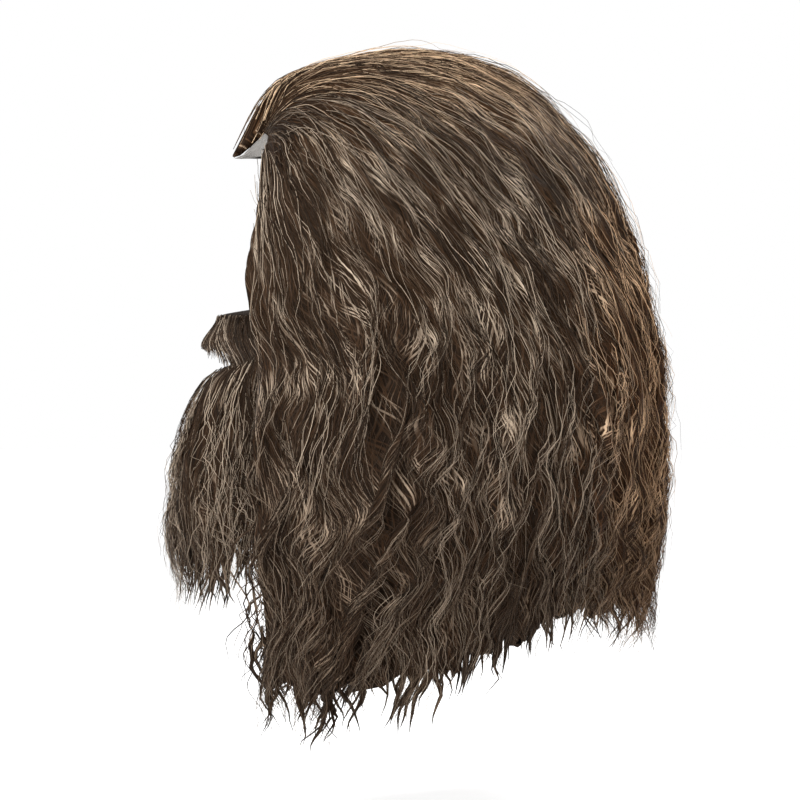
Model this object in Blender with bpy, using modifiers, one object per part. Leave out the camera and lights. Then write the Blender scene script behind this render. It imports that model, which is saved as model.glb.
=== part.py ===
"""A long wavy wig with a full beard and moustache, at its worn shape.

Metres, +Z up. The face looks along -Y and the wearer's left is +X. The origin is the top of the
head that the set is worn on, just under the cap's crown.

The hair follows strokes of a comb: each stroke starts at the hairline on the forehead, crosses the
cap to its rim, and then hangs free to the hem. side runs over the strokes, from -1 at the right
temple through 0 at the middle of the back to 1 at the left temple, and along runs down a stroke.
"""

import math

import bmesh
import bpy
from mathutils import Vector

# The room inside the cap, a little more than the head that it is made for
HEAD_LENGTH = 0.203
HEAD_WIDTH = 0.161
CROWN_HEIGHT = 0.108
HEAD_FORWARD = 0.004

# Cap, its lace front, and the elastic of the beard
CAP_WALL = 0.0015
LACE_WIDTH = 0.009
LACE_SIDE = 0.75
LACE_LIFT = 0.4
STRAP_WIDTH = 0.016
STRAP_THICKNESS = 0.001
STRAP_INSET = 0.0031
SEWN_GAP = 0.0006

# The wig's hair
HAIR_LENGTH = 0.445
HAIR_WIDTH = 0.290
BACK_REACH = 0.176
FRONT_REACH = 0.096
NAPE_VOLUME = 0.109
FRONT_DRAPE = 0.046
PEAK_LIFT = 0.0150
PEAK_DROP = 0.008
LOCK_DEPTH = 0.0055
WAVE_SWING = 0.016
TIP_LENGTH = 0.034
TIP_THICKNESS = 0.018
BEARD_ROOM = 0.012

# The face under the beard, from the line of the ears
EAR_BACK = 0.012
FACE_DEPTH = 0.104
LIP_DROP = 0.160
CHIN_DROP = 0.230
CHEEK_DROP = 0.147
JAW_DROP = 0.182
BASE_WALL = 0.0012
MOUTH_WIDTH = 0.046

# The beard's hair
BEARD_LENGTH = 0.338
BEARD_FORWARD = 0.030
BEARD_SIDE = 0.002
BEARD_ROOT = 0.0022
BEARD_TIP = 0.012
BEARD_SWELL = 0.010
MOUSTACHE_TOP = 0.0015
MOUSTACHE_DROP = 0.179
MOUSTACHE_FORWARD = 0.0085
MOUSTACHE_OVERHANG = 0.003
MOUSTACHE_DROOP = 0.004

# Counts
LOCKS = 24
COLUMNS_PER_LOCK = 3
CAP_ROWS = 14
FREE_ROWS = 10
PEAK_ROWS = 3
LACE_ROWS = 2
WAVES = 3
BEARD_LOCKS = 16
BEARD_ROWS = 12
BEARD_HELD_ROWS = 5
MOUSTACHE_COLUMNS = 22
MOUSTACHE_ROWS = 5
STRAP_STEPS = 40
MOUTH_ROW = 2

# Edges of the beard and moustache, as azimuths from the chin in degrees
BEARD_EDGE = 78
CHEEK_BLEND = 12
MOUSTACHE_EDGE = 42
MOUSTACHE_INSET = 2

# Shares
PEAK_SIDE = 0.5
PEAK_THINNING = 0.6
RIM_STEP = 0.97
INNER_BOW = 0.3
OUTER_BOW = 0.75
HEM_FALL = 0.8
HEM_SLANT = 0.6
LOCK_START = 0.3
TIP_CUT = 1.6
BEARD_TIP_CUT = 0.8
MOUSTACHE_START = 0.03
BEARD_START = 0.54
CHEEK_START = 0.04
BEARD_ROUNDING = 0.28

# Each row is one stroke. line and rim are its places on the head as azimuth from the face and height
# angle, and over is the point that it bends towards between them.
STROKES = (
    dict(side=0.0, line=(0, 32), over=(0, 90), rim=(180, -32), pull=1.45),
    dict(side=0.2, line=(6, 33), over=(78, 80), rim=(161, -31), pull=1.4),
    dict(side=0.4, line=(12, 35), over=(80, 67), rim=(139, -27), pull=1.25),
    dict(side=0.6, line=(17, 36), over=(70, 56), rim=(117, -18), pull=1.055),
    dict(side=0.8, line=(22, 35), over=(60, 42), rim=(93, -12), pull=1.05),
    dict(side=1.0, line=(28, 31), over=(45, 14), rim=(66, -16), pull=1.0),
)

# How far the hair stands off the cap at seven places along each stroke, as shares of NAPE_VOLUME,
# and how far it falls forward at the middle and at the rim, as shares of FRONT_DRAPE.
STANDS = (
    dict(side=0.0, off=(0.13, 0.190, 0.13, 0.085, 0.145, 0.40, 0.97), drape=(0.0, 0.0)),
    dict(side=0.2, off=(0.13, 0.180, 0.13, 0.090, 0.150, 0.39, 0.93), drape=(0.0, 0.0)),
    dict(side=0.4, off=(0.08, 0.120, 0.11, 0.105, 0.180, 0.38, 0.78), drape=(0.0, 0.0)),
    dict(side=0.6, off=(0.06, 0.090, 0.12, 0.150, 0.230, 0.37, 0.60), drape=(0.0, 0.0)),
    dict(side=0.8, off=(0.05, 0.080, 0.12, 0.170, 0.240, 0.34, 0.47), drape=(0.05, 0.35)),
    dict(side=1.0, off=(0.05, 0.070, 0.09, 0.110, 0.140, 0.18, 0.24), drape=(0.2, 0.9)),
)
OFF_PLACES = (0.0, 0.12, 0.28, 0.45, 0.64, 0.82, 1.0)

# Where each stroke ends, as shares of half HAIR_WIDTH, of BACK_REACH or FRONT_REACH and of
# HAIR_LENGTH.
HEMS = (
    dict(side=0.0, out=0.00, back=0.93, front=0.00, down=0.835),
    dict(side=0.2, out=0.42, back=0.85, front=0.00, down=0.830),
    dict(side=0.4, out=0.80, back=0.61, front=0.00, down=0.840),
    dict(side=0.6, out=0.96, back=0.24, front=0.00, down=0.915),
    dict(side=0.8, out=0.90, back=0.00, front=0.35, down=0.965),
    dict(side=1.0, out=0.66, back=0.00, front=0.95, down=0.960),
)

# The inside of the beard's base, from the lip line down to under the chin, as shares of the head's
# half width, of FACE_DEPTH, and of the way from the top edge to the bottom edge.
FACE_LEVELS = (
    dict(level=0.0, width=0.867, depth=1.000),
    dict(level=0.3, width=0.860, depth=1.005),
    dict(level=0.45, width=0.855, depth=0.995),
    dict(level=0.7, width=0.819, depth=0.975),
    dict(level=1.0, width=0.747, depth=0.900),
)

# The rows of cells in the beard's base, as the same shares of its height. MOUTH_ROW is open.
FACE_ROWS = (0.0, 0.14, 0.28, 0.50, 0.66, 0.83, 1.0)

# The middle line of the elastic from the nape forward to the beard's base: azimuth from the face,
# and drop below the top of the head as a share of the drop of the cheek's edge.
STRAP_PATH = (
    dict(share=0.0, azimuth=180, drop=0.952),
    dict(share=0.5, azimuth=122, drop=0.823),
    dict(share=0.78, azimuth=90, drop=0.769),
    dict(share=0.92, azimuth=73, drop=0.993),
    dict(share=1.0, azimuth=68.5, drop=1.068),
)

COLOURS = {
    "hair_brown": (0.105, 0.062, 0.036),
    "beard_brown": (0.120, 0.072, 0.042),
    "cap_net": (0.030, 0.024, 0.020),
    "lace_grey": (0.420, 0.410, 0.400),
    "elastic": (0.055, 0.042, 0.034),
}


def smooth_step(x):
    x = min(max(x, 0.0), 1.0)
    return x * x * (3 - 2 * x)


def between(places, values, at):
    """A smooth curve through values at places."""
    last = len(places) - 1
    at = min(max(at, places[0]), places[last])
    k = max(i for i in range(last) if places[i] <= at)
    step = places[k + 1] - places[k]
    x = (at - places[k]) / step
    slopes = []
    for i in (k, k + 1):
        lower, upper = max(i - 1, 0), min(i + 1, last)
        slopes.append((values[upper] - values[lower]) / (places[upper] - places[lower]))
    return (
        (1 + 2 * x) * (1 - x) ** 2 * values[k]
        + x * (1 - x) ** 2 * step * slopes[0]
        + x * x * (3 - 2 * x) * values[k + 1]
        + x * x * (x - 1) * step * slopes[1]
    )


def from_table(table, column, side, item=None):
    """A table's column at this side, read smoothly between its rows."""
    values = [row[column] if item is None else row[column][item] for row in table]
    return between([row["side"] for row in table], values, abs(side))


def toward(azimuth, height):
    """The direction at this azimuth from the face and this height angle, in degrees."""
    a, h = math.radians(azimuth), math.radians(height)
    return Vector((math.sin(a) * math.cos(h), -math.cos(a) * math.cos(h), math.sin(h)))


def stroke_direction(side, along):
    """Where a stroke is at this share of its way over the cap, as a direction from the head's centre."""
    ends = []
    for column in ("line", "over", "rim"):
        ends.append(toward(*(from_table(STROKES, column, side, item) for item in (0, 1))))
    pull = from_table(STROKES, "pull", side)
    line, over, rim = ends
    found = (1 - along) ** 2 * line + 2 * pull * along * (1 - along) * over + along**2 * rim
    found.normalize()
    found.x *= 1 if side >= 0 else -1
    return found


def off_head(direction, distance):
    """The point this far outside the cap's inner face in this direction."""
    return Vector(
        (
            (HEAD_WIDTH / 2 + distance) * direction.x,
            (HEAD_LENGTH / 2 + distance) * direction.y - HEAD_FORWARD,
            (CROWN_HEIGHT + distance) * direction.z - CROWN_HEIGHT,
        )
    )


def peak_share(side, along):
    """How much a place belongs to the pointed front that stands off the forehead, from 0 to 1."""
    across = smooth_step(1 - abs(side) / PEAK_SIDE)
    back = max(1 - along * CAP_ROWS / PEAK_ROWS, 0)
    return across * back**2


def peak_lift(side, along):
    return Vector((0, -PEAK_LIFT, -PEAK_DROP)) * peak_share(side, along)


def cap_point(side, along, distance):
    """The point of a stroke this far outside the cap's inner face."""
    return off_head(stroke_direction(side, along), distance)


def inner_on_cap(side, along):
    return cap_point(side, along, CAP_WALL + SEWN_GAP) + peak_lift(side, along)


def outer_on_cap(side, along):
    stands = [from_table(STANDS, "off", side, i) for i in range(len(OFF_PLACES))]
    off = NAPE_VOLUME * between(OFF_PLACES, stands, along)
    off *= 1 - PEAK_THINNING * peak_share(side, along)
    point = cap_point(side, along, CAP_WALL + SEWN_GAP + off) + peak_lift(side, along)
    middle, rim = (from_table(STANDS, "drape", side, i) for i in (0, 1))
    point.y -= FRONT_DRAPE * between((0.0, 0.5, 1.0), (0.0, middle, rim), along)
    return point


def hem_point(side, inset):
    """The end of a stroke, moved in towards the middle of the head and up by inset."""
    out = from_table(HEMS, "out", side) * HAIR_WIDTH / 2
    back = from_table(HEMS, "back", side) * BACK_REACH
    front = from_table(HEMS, "front", side) * FRONT_REACH
    flat = Vector((math.copysign(out, side), back - front, 0))
    flat -= flat.normalized() * inset
    flat.z = inset * HEM_SLANT - from_table(HEMS, "down", side) * HAIR_LENGTH
    return flat


def free_curve(start, before, end, along, bow):
    """A hanging curve from start to end that leaves start as it came from before."""
    reach = (end - start).length
    leaving = (start - before).normalized() * reach * bow
    landing = Vector((0, 0, -1)) * reach * HEM_FALL
    x = along
    return (
        (1 + 2 * x) * (1 - x) ** 2 * start
        + x * (1 - x) ** 2 * leaving
        + x * x * (3 - 2 * x) * end
        + x * x * (x - 1) * landing
    )


def inner_free(side, along):
    start, before = inner_on_cap(side, 1), inner_on_cap(side, RIM_STEP)
    point = free_curve(start, before, hem_point(side, TIP_THICKNESS), along, INNER_BOW)
    away = Vector((point.x, point.y + HEAD_FORWARD, 0)).normalized()
    return point + away * BEARD_ROOM * math.sin(math.pi * min(max(along, 0.0), 1.0)) ** 0.6


def outer_free(side, along):
    start, before = outer_on_cap(side, 1), outer_on_cap(side, RIM_STEP)
    return free_curve(start, before, hem_point(side, 0), along, OUTER_BOW)


def lock_shape(column):
    """How high a lock stands and how long it hangs at this column, from 0 in the groove between two."""
    place = column % COLUMNS_PER_LOCK
    lock = column // COLUMNS_PER_LOCK
    height = (0.0, 1.0, 0.75)[place]
    length = (0.0, 1.0, 0.45)[place] * (0.72 + 0.28 * math.sin(2.4 * lock))
    return height, length


def hair_point(column, columns, row, outer):
    """The inner or outer point of the wig's hair at a column and a row, without the locks' relief."""
    side = 2 * column / columns - 1
    if row <= CAP_ROWS:
        return (outer_on_cap if outer else inner_on_cap)(side, row / CAP_ROWS)
    along = (row - CAP_ROWS) / FREE_ROWS
    swing = WAVE_SWING * math.sin(2 * math.pi * WAVES * along) * (1 - side**6)
    swung = side + swing * smooth_step(along * 2)
    shorter = TIP_CUT * TIP_LENGTH * (1 - lock_shape(column)[1])
    cut = shorter / HAIR_LENGTH * smooth_step(along)
    return (outer_free if outer else inner_free)(swung, along - cut)


def wig_rows(lock_range, row_range):
    """The inner and outer points of the wig's hair over a range of locks and of rows."""
    columns = LOCKS * COLUMNS_PER_LOCK
    inner_rows, outer_rows = [], []
    for row in range(row_range[0], row_range[1] + 1):
        relief = LOCK_DEPTH * smooth_step((row / CAP_ROWS - LOCK_START) / (1 - LOCK_START))
        locks = range(lock_range[0], lock_range[1] + 1)
        inner_rows.append([hair_point(lock * COLUMNS_PER_LOCK, columns, row, False) for lock in locks])
        outer_row = []
        for column in range(lock_range[0] * COLUMNS_PER_LOCK, lock_range[1] * COLUMNS_PER_LOCK + 1):
            point = hair_point(column, columns, row, True)
            away = (point - off_head(Vector((0, 0, 0)), 0)).normalized()
            outer_row.append(point + away * relief * lock_shape(column)[0])
        outer_rows.append(outer_row)
    return inner_rows, outer_rows


def draw_in(rows, edges):
    """Moves the named edges of a grid of points half a sewn gap in from where they meet another part."""
    for name, edge, beside in (("top", 0, 1), ("bottom", -1, -2)):
        if name in edges:
            steps = [(b - a).normalized() for a, b in zip(rows[edge], rows[beside])]
            rows[edge] = [point + step * SEWN_GAP / 2 for point, step in zip(rows[edge], steps)]
    for name, edge, beside in (("first", 0, 1), ("last", -1, -2)):
        if name in edges:
            for row in rows:
                row[edge] = row[edge] + (row[beside] - row[edge]).normalized() * SEWN_GAP / 2


def hair_solid(name, inner_rows, outer_rows, colour):
    """A closed body between two grids of points. The outer one has several columns to each inner one."""
    mesh = bmesh.new()
    inner = [[mesh.verts.new(point) for point in row] for row in inner_rows]
    outer = [[mesh.verts.new(point) for point in row] for row in outer_rows]
    finer = (len(outer[0]) - 1) // (len(inner[0]) - 1)
    for grid in (inner, outer):
        for upper, lower in zip(grid, grid[1:]):
            for i in range(len(upper) - 1):
                mesh.faces.new((upper[i], upper[i + 1], lower[i + 1]))
                mesh.faces.new((upper[i], lower[i + 1], lower[i]))
    for edge in (0, -1):
        for upper, lower, upper_out, lower_out in zip(inner, inner[1:], outer, outer[1:]):
            mesh.faces.new((upper[edge], upper_out[edge], lower_out[edge], lower[edge]))
        for i in range(len(inner[0]) - 1):
            near, far = inner[edge][i], inner[edge][i + 1]
            fan = outer[edge][i * finer:(i + 1) * finer + 1]
            turn = (finer + 1) // 2
            for k in range(finer):
                mesh.faces.new((near if k <= turn - 1 else far, fan[k], fan[k + 1]))
            mesh.faces.new((near, fan[turn], far))
    return finished(name, mesh, colour)


def finished(name, mesh, colour):
    """An object with its own material from a bmesh, its faces pointing out."""
    bmesh.ops.recalc_face_normals(mesh, faces=mesh.faces)
    data = bpy.data.meshes.new(name)
    mesh.to_mesh(data)
    mesh.free()
    data.shade_smooth()
    made = bpy.data.objects.new(name, data)
    data.materials.append(material(colour))
    PARTS.objects.link(made)
    made.parent = WORN
    return made


def material(colour):
    found = bpy.data.materials.get(colour)
    if found:
        return found
    made = bpy.data.materials.new(colour)
    made.use_nodes = True
    shader = made.node_tree.nodes["Principled BSDF"]
    shader.inputs["Base Color"].default_value = (*COLOURS[colour], 1)
    shader.inputs["Roughness"].default_value = 0.55
    return made


def sheet(name, grid, wall, colour, holes=()):
    """A cloth wall whose inside is grid, a list of rows of points. holes are cells left open."""
    mesh = bmesh.new()
    made = [[mesh.verts.new(point) for point in row] for row in grid]
    for j in range(len(grid) - 1):
        for i in range(len(grid[0]) - 1):
            if (j, i) not in holes:
                mesh.faces.new((made[j][i], made[j][i + 1], made[j + 1][i + 1]))
                mesh.faces.new((made[j][i], made[j + 1][i + 1], made[j + 1][i]))
    made = finished(name, mesh, colour)
    outward = Vector((0, -HEAD_FORWARD, -CROWN_HEIGHT))
    face = made.data.polygons[0]
    if face.normal.dot(face.center - outward) < 0:
        made.data.flip_normals()
    thick = made.modifiers.new("wall", "SOLIDIFY")
    thick.thickness = wall
    thick.offset = 1
    thick.use_even_offset = True
    return made


def make_wig_hair():
    """The wig's hair: the pointed front, the back and the two sides."""
    bottom = CAP_ROWS + FREE_ROWS
    left, right = round(LOCKS * (1 - PEAK_SIDE) / 2), round(LOCKS * (1 + PEAK_SIDE) / 2)
    for name, locks, rows, edges in (
        ("front_peak", (left, right), (0, PEAK_ROWS), ("first", "last", "bottom")),
        ("back_hair", (left, right), (PEAK_ROWS, bottom), ("first", "last", "top")),
        ("left_hair", (right, LOCKS), (0, bottom), ("first",)),
        ("right_hair", (0, left), (0, bottom), ("last",)),
    ):
        inner, outer = wig_rows(locks, rows)
        draw_in(inner, edges)
        draw_in(outer, edges)
        hair_solid(name, inner, outer, "hair_brown")


def make_cap():
    """The stretch cap, from the hairline to its rim."""
    columns = LOCKS
    grid = []
    for row in range(CAP_ROWS + 1):
        sides = [2 * column / columns - 1 for column in range(columns + 1)]
        grid.append([cap_point(side, row / CAP_ROWS, 0) for side in sides])
    sheet("wig_cap", grid, CAP_WALL, "cap_net")


def make_lace():
    """The strip of lace in front of the cap, lifted in the middle where it carries the peak."""
    columns = 2 * round(LACE_SIDE * LOCKS / 2)
    grid = []
    for step in range(LACE_ROWS + 1):
        points = []
        for column in range(columns + 1):
            side = LACE_SIDE * (2 * column / columns - 1)
            azimuth, height = (from_table(STROKES, "line", side, item) for item in (0, 1))
            azimuth = math.copysign(azimuth, side)
            edge = off_head(toward(azimuth, height), 0)
            down = (off_head(toward(azimuth, height - 1), 0) - edge).normalized()
            share = step / LACE_ROWS
            lift = Vector((0, -PEAK_LIFT, 0)) * peak_share(side, 0) * LACE_LIFT * share
            points.append(edge + down * (SEWN_GAP + LACE_WIDTH * share) + lift)
        grid.append(points)
    sheet("lace_front", grid, CAP_WALL, "lace_grey")


def face_point(azimuth, level, distance):
    """A point on the beard's base at this azimuth from the chin and this share of its height."""
    places = [row["level"] for row in FACE_LEVELS]
    width = between(places, [row["width"] for row in FACE_LEVELS], level) * HEAD_WIDTH / 2 + distance
    depth = between(places, [row["depth"] for row in FACE_LEVELS], level) * FACE_DEPTH + distance
    a = math.radians(azimuth)
    aside = 1 - math.cos(a)
    top = LIP_DROP + (CHEEK_DROP - LIP_DROP) * aside
    bottom = CHIN_DROP + (JAW_DROP - CHIN_DROP) * aside
    drop = top + (bottom - top) * level
    return Vector((width * math.sin(a), -EAR_BACK - depth * math.cos(a), -drop))


def make_beard_base():
    """The net that carries the beard and moustache, with an open slot at the mouth."""
    columns = BEARD_LOCKS * COLUMNS_PER_LOCK // 2
    azimuths = [BEARD_EDGE * (2 * column / columns - 1) for column in range(columns + 1)]
    grid = [[face_point(azimuth, level, 0) for azimuth in azimuths] for level in FACE_ROWS]
    middle = columns // 2
    half = round(math.degrees(math.asin(MOUTH_WIDTH / HEAD_WIDTH)) / (2 * BEARD_EDGE / columns))
    holes = {(MOUTH_ROW, i) for i in range(middle - half, middle + half)}
    sheet("beard_base", grid, BASE_WALL, "cap_net", holes)


def beard_points(column, columns, row):
    """The inner and outer point of the beard's hair, from under the mouth and the cheeks' edges."""
    azimuth = BEARD_EDGE * (2 * column / columns - 1)
    middle = math.cos(math.radians(azimuth))
    cheek = smooth_step((abs(azimuth) - MOUSTACHE_EDGE) / CHEEK_BLEND)
    start = BEARD_START * (1 - cheek) + CHEEK_START * cheek
    height, length = lock_shape(column)
    tip = BEARD_TIP_CUT * TIP_LENGTH * (1 - length)
    tip -= BEARD_LENGTH * (1 - BEARD_ROUNDING * (1 - middle))
    below = face_point(azimuth, 1, BASE_WALL + SEWN_GAP)
    held = min(row / BEARD_HELD_ROWS, 1)
    fall = max(row - BEARD_HELD_ROWS, 0) / (BEARD_ROWS - BEARD_HELD_ROWS)
    ahead = Vector((below.x, below.y + EAR_BACK, 0)).normalized()
    inner = face_point(azimuth, start + (1 - start) * held, BASE_WALL + SEWN_GAP)
    inner += ahead * smooth_step(fall) * BEARD_FORWARD * 0.5 * middle
    inner.z += (tip + BEARD_TIP - below.z) * fall
    root = face_point(azimuth, start, BASE_WALL + SEWN_GAP + BEARD_ROOT)
    share = row / BEARD_ROWS
    outer = root.lerp(below, smooth_step(share))
    outer.z = root.z + (tip - root.z) * share
    grown = (BEARD_SIDE + (BEARD_FORWARD - BEARD_SIDE) * middle**2) * between(
        (0.0, 0.2, 0.5, 0.8, 1.0), (0.0, 0.5, 0.9, 1.0, 0.85), share
    )
    grown += LOCK_DEPTH * (0.4 + 0.3 * middle) * height * smooth_step(share * 4)
    grown += BEARD_SWELL * middle * smooth_step(share)
    return inner, outer + ahead * grown


def make_beard_hair():
    """The beard's hair as one body of fused locks."""
    columns = BEARD_LOCKS * COLUMNS_PER_LOCK
    inner, outer = [], []
    for row in range(BEARD_ROWS + 1):
        points = [beard_points(column, columns, row) for column in range(columns + 1)]
        inner.append([pair[0] for pair in points[::2]])
        outer.append([pair[1] for pair in points])
    hair_solid("beard_hair", inner, outer, "beard_brown")


def make_moustache():
    """The moustache, which follows the lip and overhangs the mouth a little."""
    columns = MOUSTACHE_COLUMNS
    inner, outer = [], []
    for row in range(MOUSTACHE_ROWS + 1):
        share = row / MOUSTACHE_ROWS
        level = MOUSTACHE_START + (FACE_ROWS[MOUTH_ROW] - MOUSTACHE_START) * share
        for grid in (inner, outer):
            grid.append([])
        for column in range(columns + 1):
            azimuth = (MOUSTACHE_EDGE - MOUSTACHE_INSET) * (2 * column / columns - 1)
            across = math.cos(math.radians(90 * azimuth / MOUSTACHE_EDGE))
            ridge = 0.8 + 0.2 * (column % 2)
            crown = math.sin(math.pi * (0.12 + 0.62 * share))
            stands = (BEARD_ROOT + MOUSTACHE_FORWARD * crown * ridge) * (0.45 + 0.55 * across)
            hangs = MOUSTACHE_OVERHANG * share**2 * across
            near = face_point(azimuth, level, BASE_WALL + SEWN_GAP + hangs)
            far = face_point(azimuth, level, BASE_WALL + SEWN_GAP + stands)
            drop = (MOUSTACHE_DROP - LIP_DROP) * share
            for grid, point in ((inner, near), (outer, far)):
                point.z = -LIP_DROP - MOUSTACHE_TOP - drop - MOUSTACHE_DROOP * (1 - across) * share
                grid[-1].append(point)
    hair_solid("moustache", inner, outer, "beard_brown")


def make_strap():
    """The elastic from one side of the beard's base, over the ears and round the head, to the other."""
    steps = STRAP_STEPS
    places = [row["share"] for row in STRAP_PATH]
    grid = []
    for edge in (-STRAP_WIDTH / 2, STRAP_WIDTH / 2):
        points = []
        for step in range(steps + 1):
            turn = 2 * step / steps - 1
            azimuth = between(places, [row["azimuth"] for row in STRAP_PATH], abs(turn))
            drop = between(places, [row["drop"] for row in STRAP_PATH], abs(turn))
            below = drop * CHEEK_DROP - edge - CROWN_HEIGHT
            height = math.degrees(math.asin(-below / CROWN_HEIGHT))
            point = off_head(toward(azimuth, height), -STRAP_INSET)
            point.x *= 1 if turn >= 0 else -1
            points.append(point)
        grid.append(points)
    sheet("beard_strap", grid, STRAP_THICKNESS, "elastic")


for old in list(bpy.data.objects):
    bpy.data.objects.remove(old)
PARTS = bpy.data.collections.new("wig_with_beard")
bpy.context.scene.collection.children.link(PARTS)
WORN = bpy.data.objects.new("top_of_head", None)
PARTS.objects.link(WORN)

make_cap()
make_lace()
make_wig_hair()
make_beard_base()
make_beard_hair()
make_moustache()
make_strap()
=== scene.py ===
"""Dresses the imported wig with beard: its locks and strands of hair, cap, lace, strap and studio."""

import math

import bpy
import mathutils
import numpy as np
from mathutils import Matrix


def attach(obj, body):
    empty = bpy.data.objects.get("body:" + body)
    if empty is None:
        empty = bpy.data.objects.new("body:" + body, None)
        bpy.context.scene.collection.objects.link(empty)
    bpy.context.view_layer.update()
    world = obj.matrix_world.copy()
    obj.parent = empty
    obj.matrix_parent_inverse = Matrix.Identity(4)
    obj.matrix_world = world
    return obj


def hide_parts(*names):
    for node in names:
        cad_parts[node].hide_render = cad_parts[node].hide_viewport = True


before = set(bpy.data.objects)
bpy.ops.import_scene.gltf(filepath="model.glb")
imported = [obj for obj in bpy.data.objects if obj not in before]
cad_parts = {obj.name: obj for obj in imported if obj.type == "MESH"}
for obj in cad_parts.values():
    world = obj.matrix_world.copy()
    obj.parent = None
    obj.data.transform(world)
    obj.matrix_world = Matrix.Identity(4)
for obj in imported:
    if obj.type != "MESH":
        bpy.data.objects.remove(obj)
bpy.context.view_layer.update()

bl_info = {
    "name": "Wavy Wig and Beard",
    "version": (1, 0, 0),
    "blender": (4, 5, 0),
    "location": "3D View > Sidebar > Wig",
    "description": "Builds a long wavy wig with a full beard and moustache, and a plain studio",
    "category": "Object",
}

# The head, cap and fall of the hair, in metres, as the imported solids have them
HEAD = np.array((0.161, 0.203, 0.108))
HEAD_FORWARD = 0.004
HAIR_ROOT = 0.0021
HAIR_LENGTH = 0.445
HAIR_WIDTH = 0.290
BACK_REACH = 0.176
FRONT_REACH = 0.096
NAPE_VOLUME = 0.109
FRONT_DRAPE = 0.046
PEAK_SIDE = 0.5
PEAK_END = 3 / 14
PEAK_LIFT = 0.015
PEAK_DROP = 0.008
WALL_AT_HEM = 0.018
BEARD_ROOM = 0.012
PEAK_THINNING = 0.6
FLANK_THINNING, FLANK_REACH = 0.85, 0.22
RIM_STEP = 0.97
OUTER_BOW, INNER_BOW = 0.75, 0.3
HEM_FALL, HEM_SLANT = 0.8, 0.6

STROKES = {
    "side": (0.0, 0.2, 0.4, 0.6, 0.8, 1.0),
    "line": ((0, 32), (6, 33), (12, 35), (17, 36), (22, 35), (28, 31)),
    "over": ((0, 90), (78, 80), (80, 67), (70, 56), (60, 42), (45, 14)),
    "rim": ((180, -32), (161, -31), (139, -27), (117, -18), (93, -12), (66, -16)),
    "pull": (1.45, 1.4, 1.25, 1.055, 1.05, 1.0),
    "off": (
        (0.13, 0.190, 0.13, 0.085, 0.145, 0.40, 0.97),
        (0.13, 0.180, 0.13, 0.090, 0.150, 0.39, 0.93),
        (0.08, 0.120, 0.11, 0.105, 0.180, 0.38, 0.78),
        (0.06, 0.090, 0.12, 0.150, 0.230, 0.37, 0.60),
        (0.05, 0.080, 0.12, 0.170, 0.240, 0.34, 0.47),
        (0.05, 0.070, 0.09, 0.110, 0.140, 0.18, 0.24),
    ),
    "drape": ((0.0, 0.0), (0.0, 0.0), (0.0, 0.0), (0.0, 0.0), (0.05, 0.35), (0.2, 0.9)),
    "out": (0.00, 0.42, 0.80, 0.96, 0.90, 0.66),
    "back": (0.93, 0.85, 0.61, 0.24, 0.00, 0.00),
    "front": (0.00, 0.00, 0.00, 0.00, 0.35, 0.95),
    "down": (0.835, 0.830, 0.840, 0.915, 0.965, 0.960),
}
OFF_PLACES = (0.0, 0.12, 0.28, 0.45, 0.64, 0.82, 1.0)

# The face under the beard and the beard's own reach
EAR_BACK = 0.012
FACE_DEPTH = 0.104
LIP_DROP, CHIN_DROP = 0.160, 0.230
CHEEK_DROP, JAW_DROP = 0.147, 0.182
FACE_LEVELS = (0.0, 0.3, 0.45, 0.7, 1.0)
FACE_WIDTHS = (0.867, 0.860, 0.855, 0.819, 0.747)
FACE_DEPTHS = (1.000, 1.005, 0.995, 0.975, 0.900)
BASE_FACE = 0.0018
BEARD_EDGE = 78
BEARD_LENGTH = 0.338
BEARD_FORWARD = 0.030
BEARD_SIDE = 0.002
BEARD_ROUNDING = 0.28
BEARD_STARTS = (0.50, 0.04)
BEARD_HELD = 0.417
BEARD_ROOT, BEARD_TIP = 0.0022, 0.012
BEARD_SWELL, LIP_SWELL = 0.010, 0.0045
CHEEK_BLEND = 12
MOUSTACHE_EDGE = 42

# How the hair is laid: its random seeds, its tufts, its drift backward and a strand's size on the colour card
HAIR_SEED, BEARD_SEED = 71, 131
TUFTS = 96
SWEEP, DRIFT, DRIFT_START = 0.14, 0.38, 0.12
CARD_SPOT = (0.004, 0.05)

# Tints of the hair by its place on the head, painted light and shade: a golden painted highlight over the top, a
# russet painted glow of backlight at the back edge, and painted shade low down
TOP_PAINTED_LIGHT = (1.90, 1.72, 1.48)
PLAIN = (1.0, 1.0, 1.0)
LOW_PAINTED_SHADE = (0.62, 0.56, 0.52)
BACK_PAINTED_GLOW = (1.42, 1.15, 0.90)


def step(x):
    """0 below 0 and 1 above 1, with an easy rise between."""
    x = np.clip(x, 0.0, 1.0)
    return x * x * (3 - 2 * x)


def hermite(x, gap, first, last, leaving, landing):
    """A cubic over a gap from first to last, with its slopes at both ends."""
    return (
        (1 + 2 * x) * (1 - x) ** 2 * first
        + x * (1 - x) ** 2 * gap * leaving
        + x * x * (3 - 2 * x) * last
        + x * x * (x - 1) * gap * landing
    )


def curve(places, values, at):
    """A smooth curve through values at places, as the solids use. A value may be an array like at."""
    places, values = np.asarray(places, float), np.asarray(values, float)
    at = np.clip(at, places[0], places[-1])
    last = len(places) - 1
    k = np.clip(np.searchsorted(places, at, "right") - 1, 0, last - 1)
    gap = places[k + 1] - places[k]

    def value(i):
        return values[i] if values.ndim == 1 else np.take_along_axis(values, i[None], 0)[0]

    def slope(i):
        lower, upper = np.maximum(i - 1, 0), np.minimum(i + 1, last)
        return (value(upper) - value(lower)) / (places[upper] - places[lower])

    return hermite((at - places[k]) / gap, gap, value(k), value(k + 1), slope(k), slope(k + 1))


def column(name, side, item=None):
    """A column of the strokes' table, read smoothly at a side."""
    values = [v if item is None else v[item] for v in STROKES[name]]
    return curve(STROKES["side"], values, np.abs(side))


def unit(v):
    return v / np.maximum(np.linalg.norm(v, axis=-1, keepdims=True), 1e-9)


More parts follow.
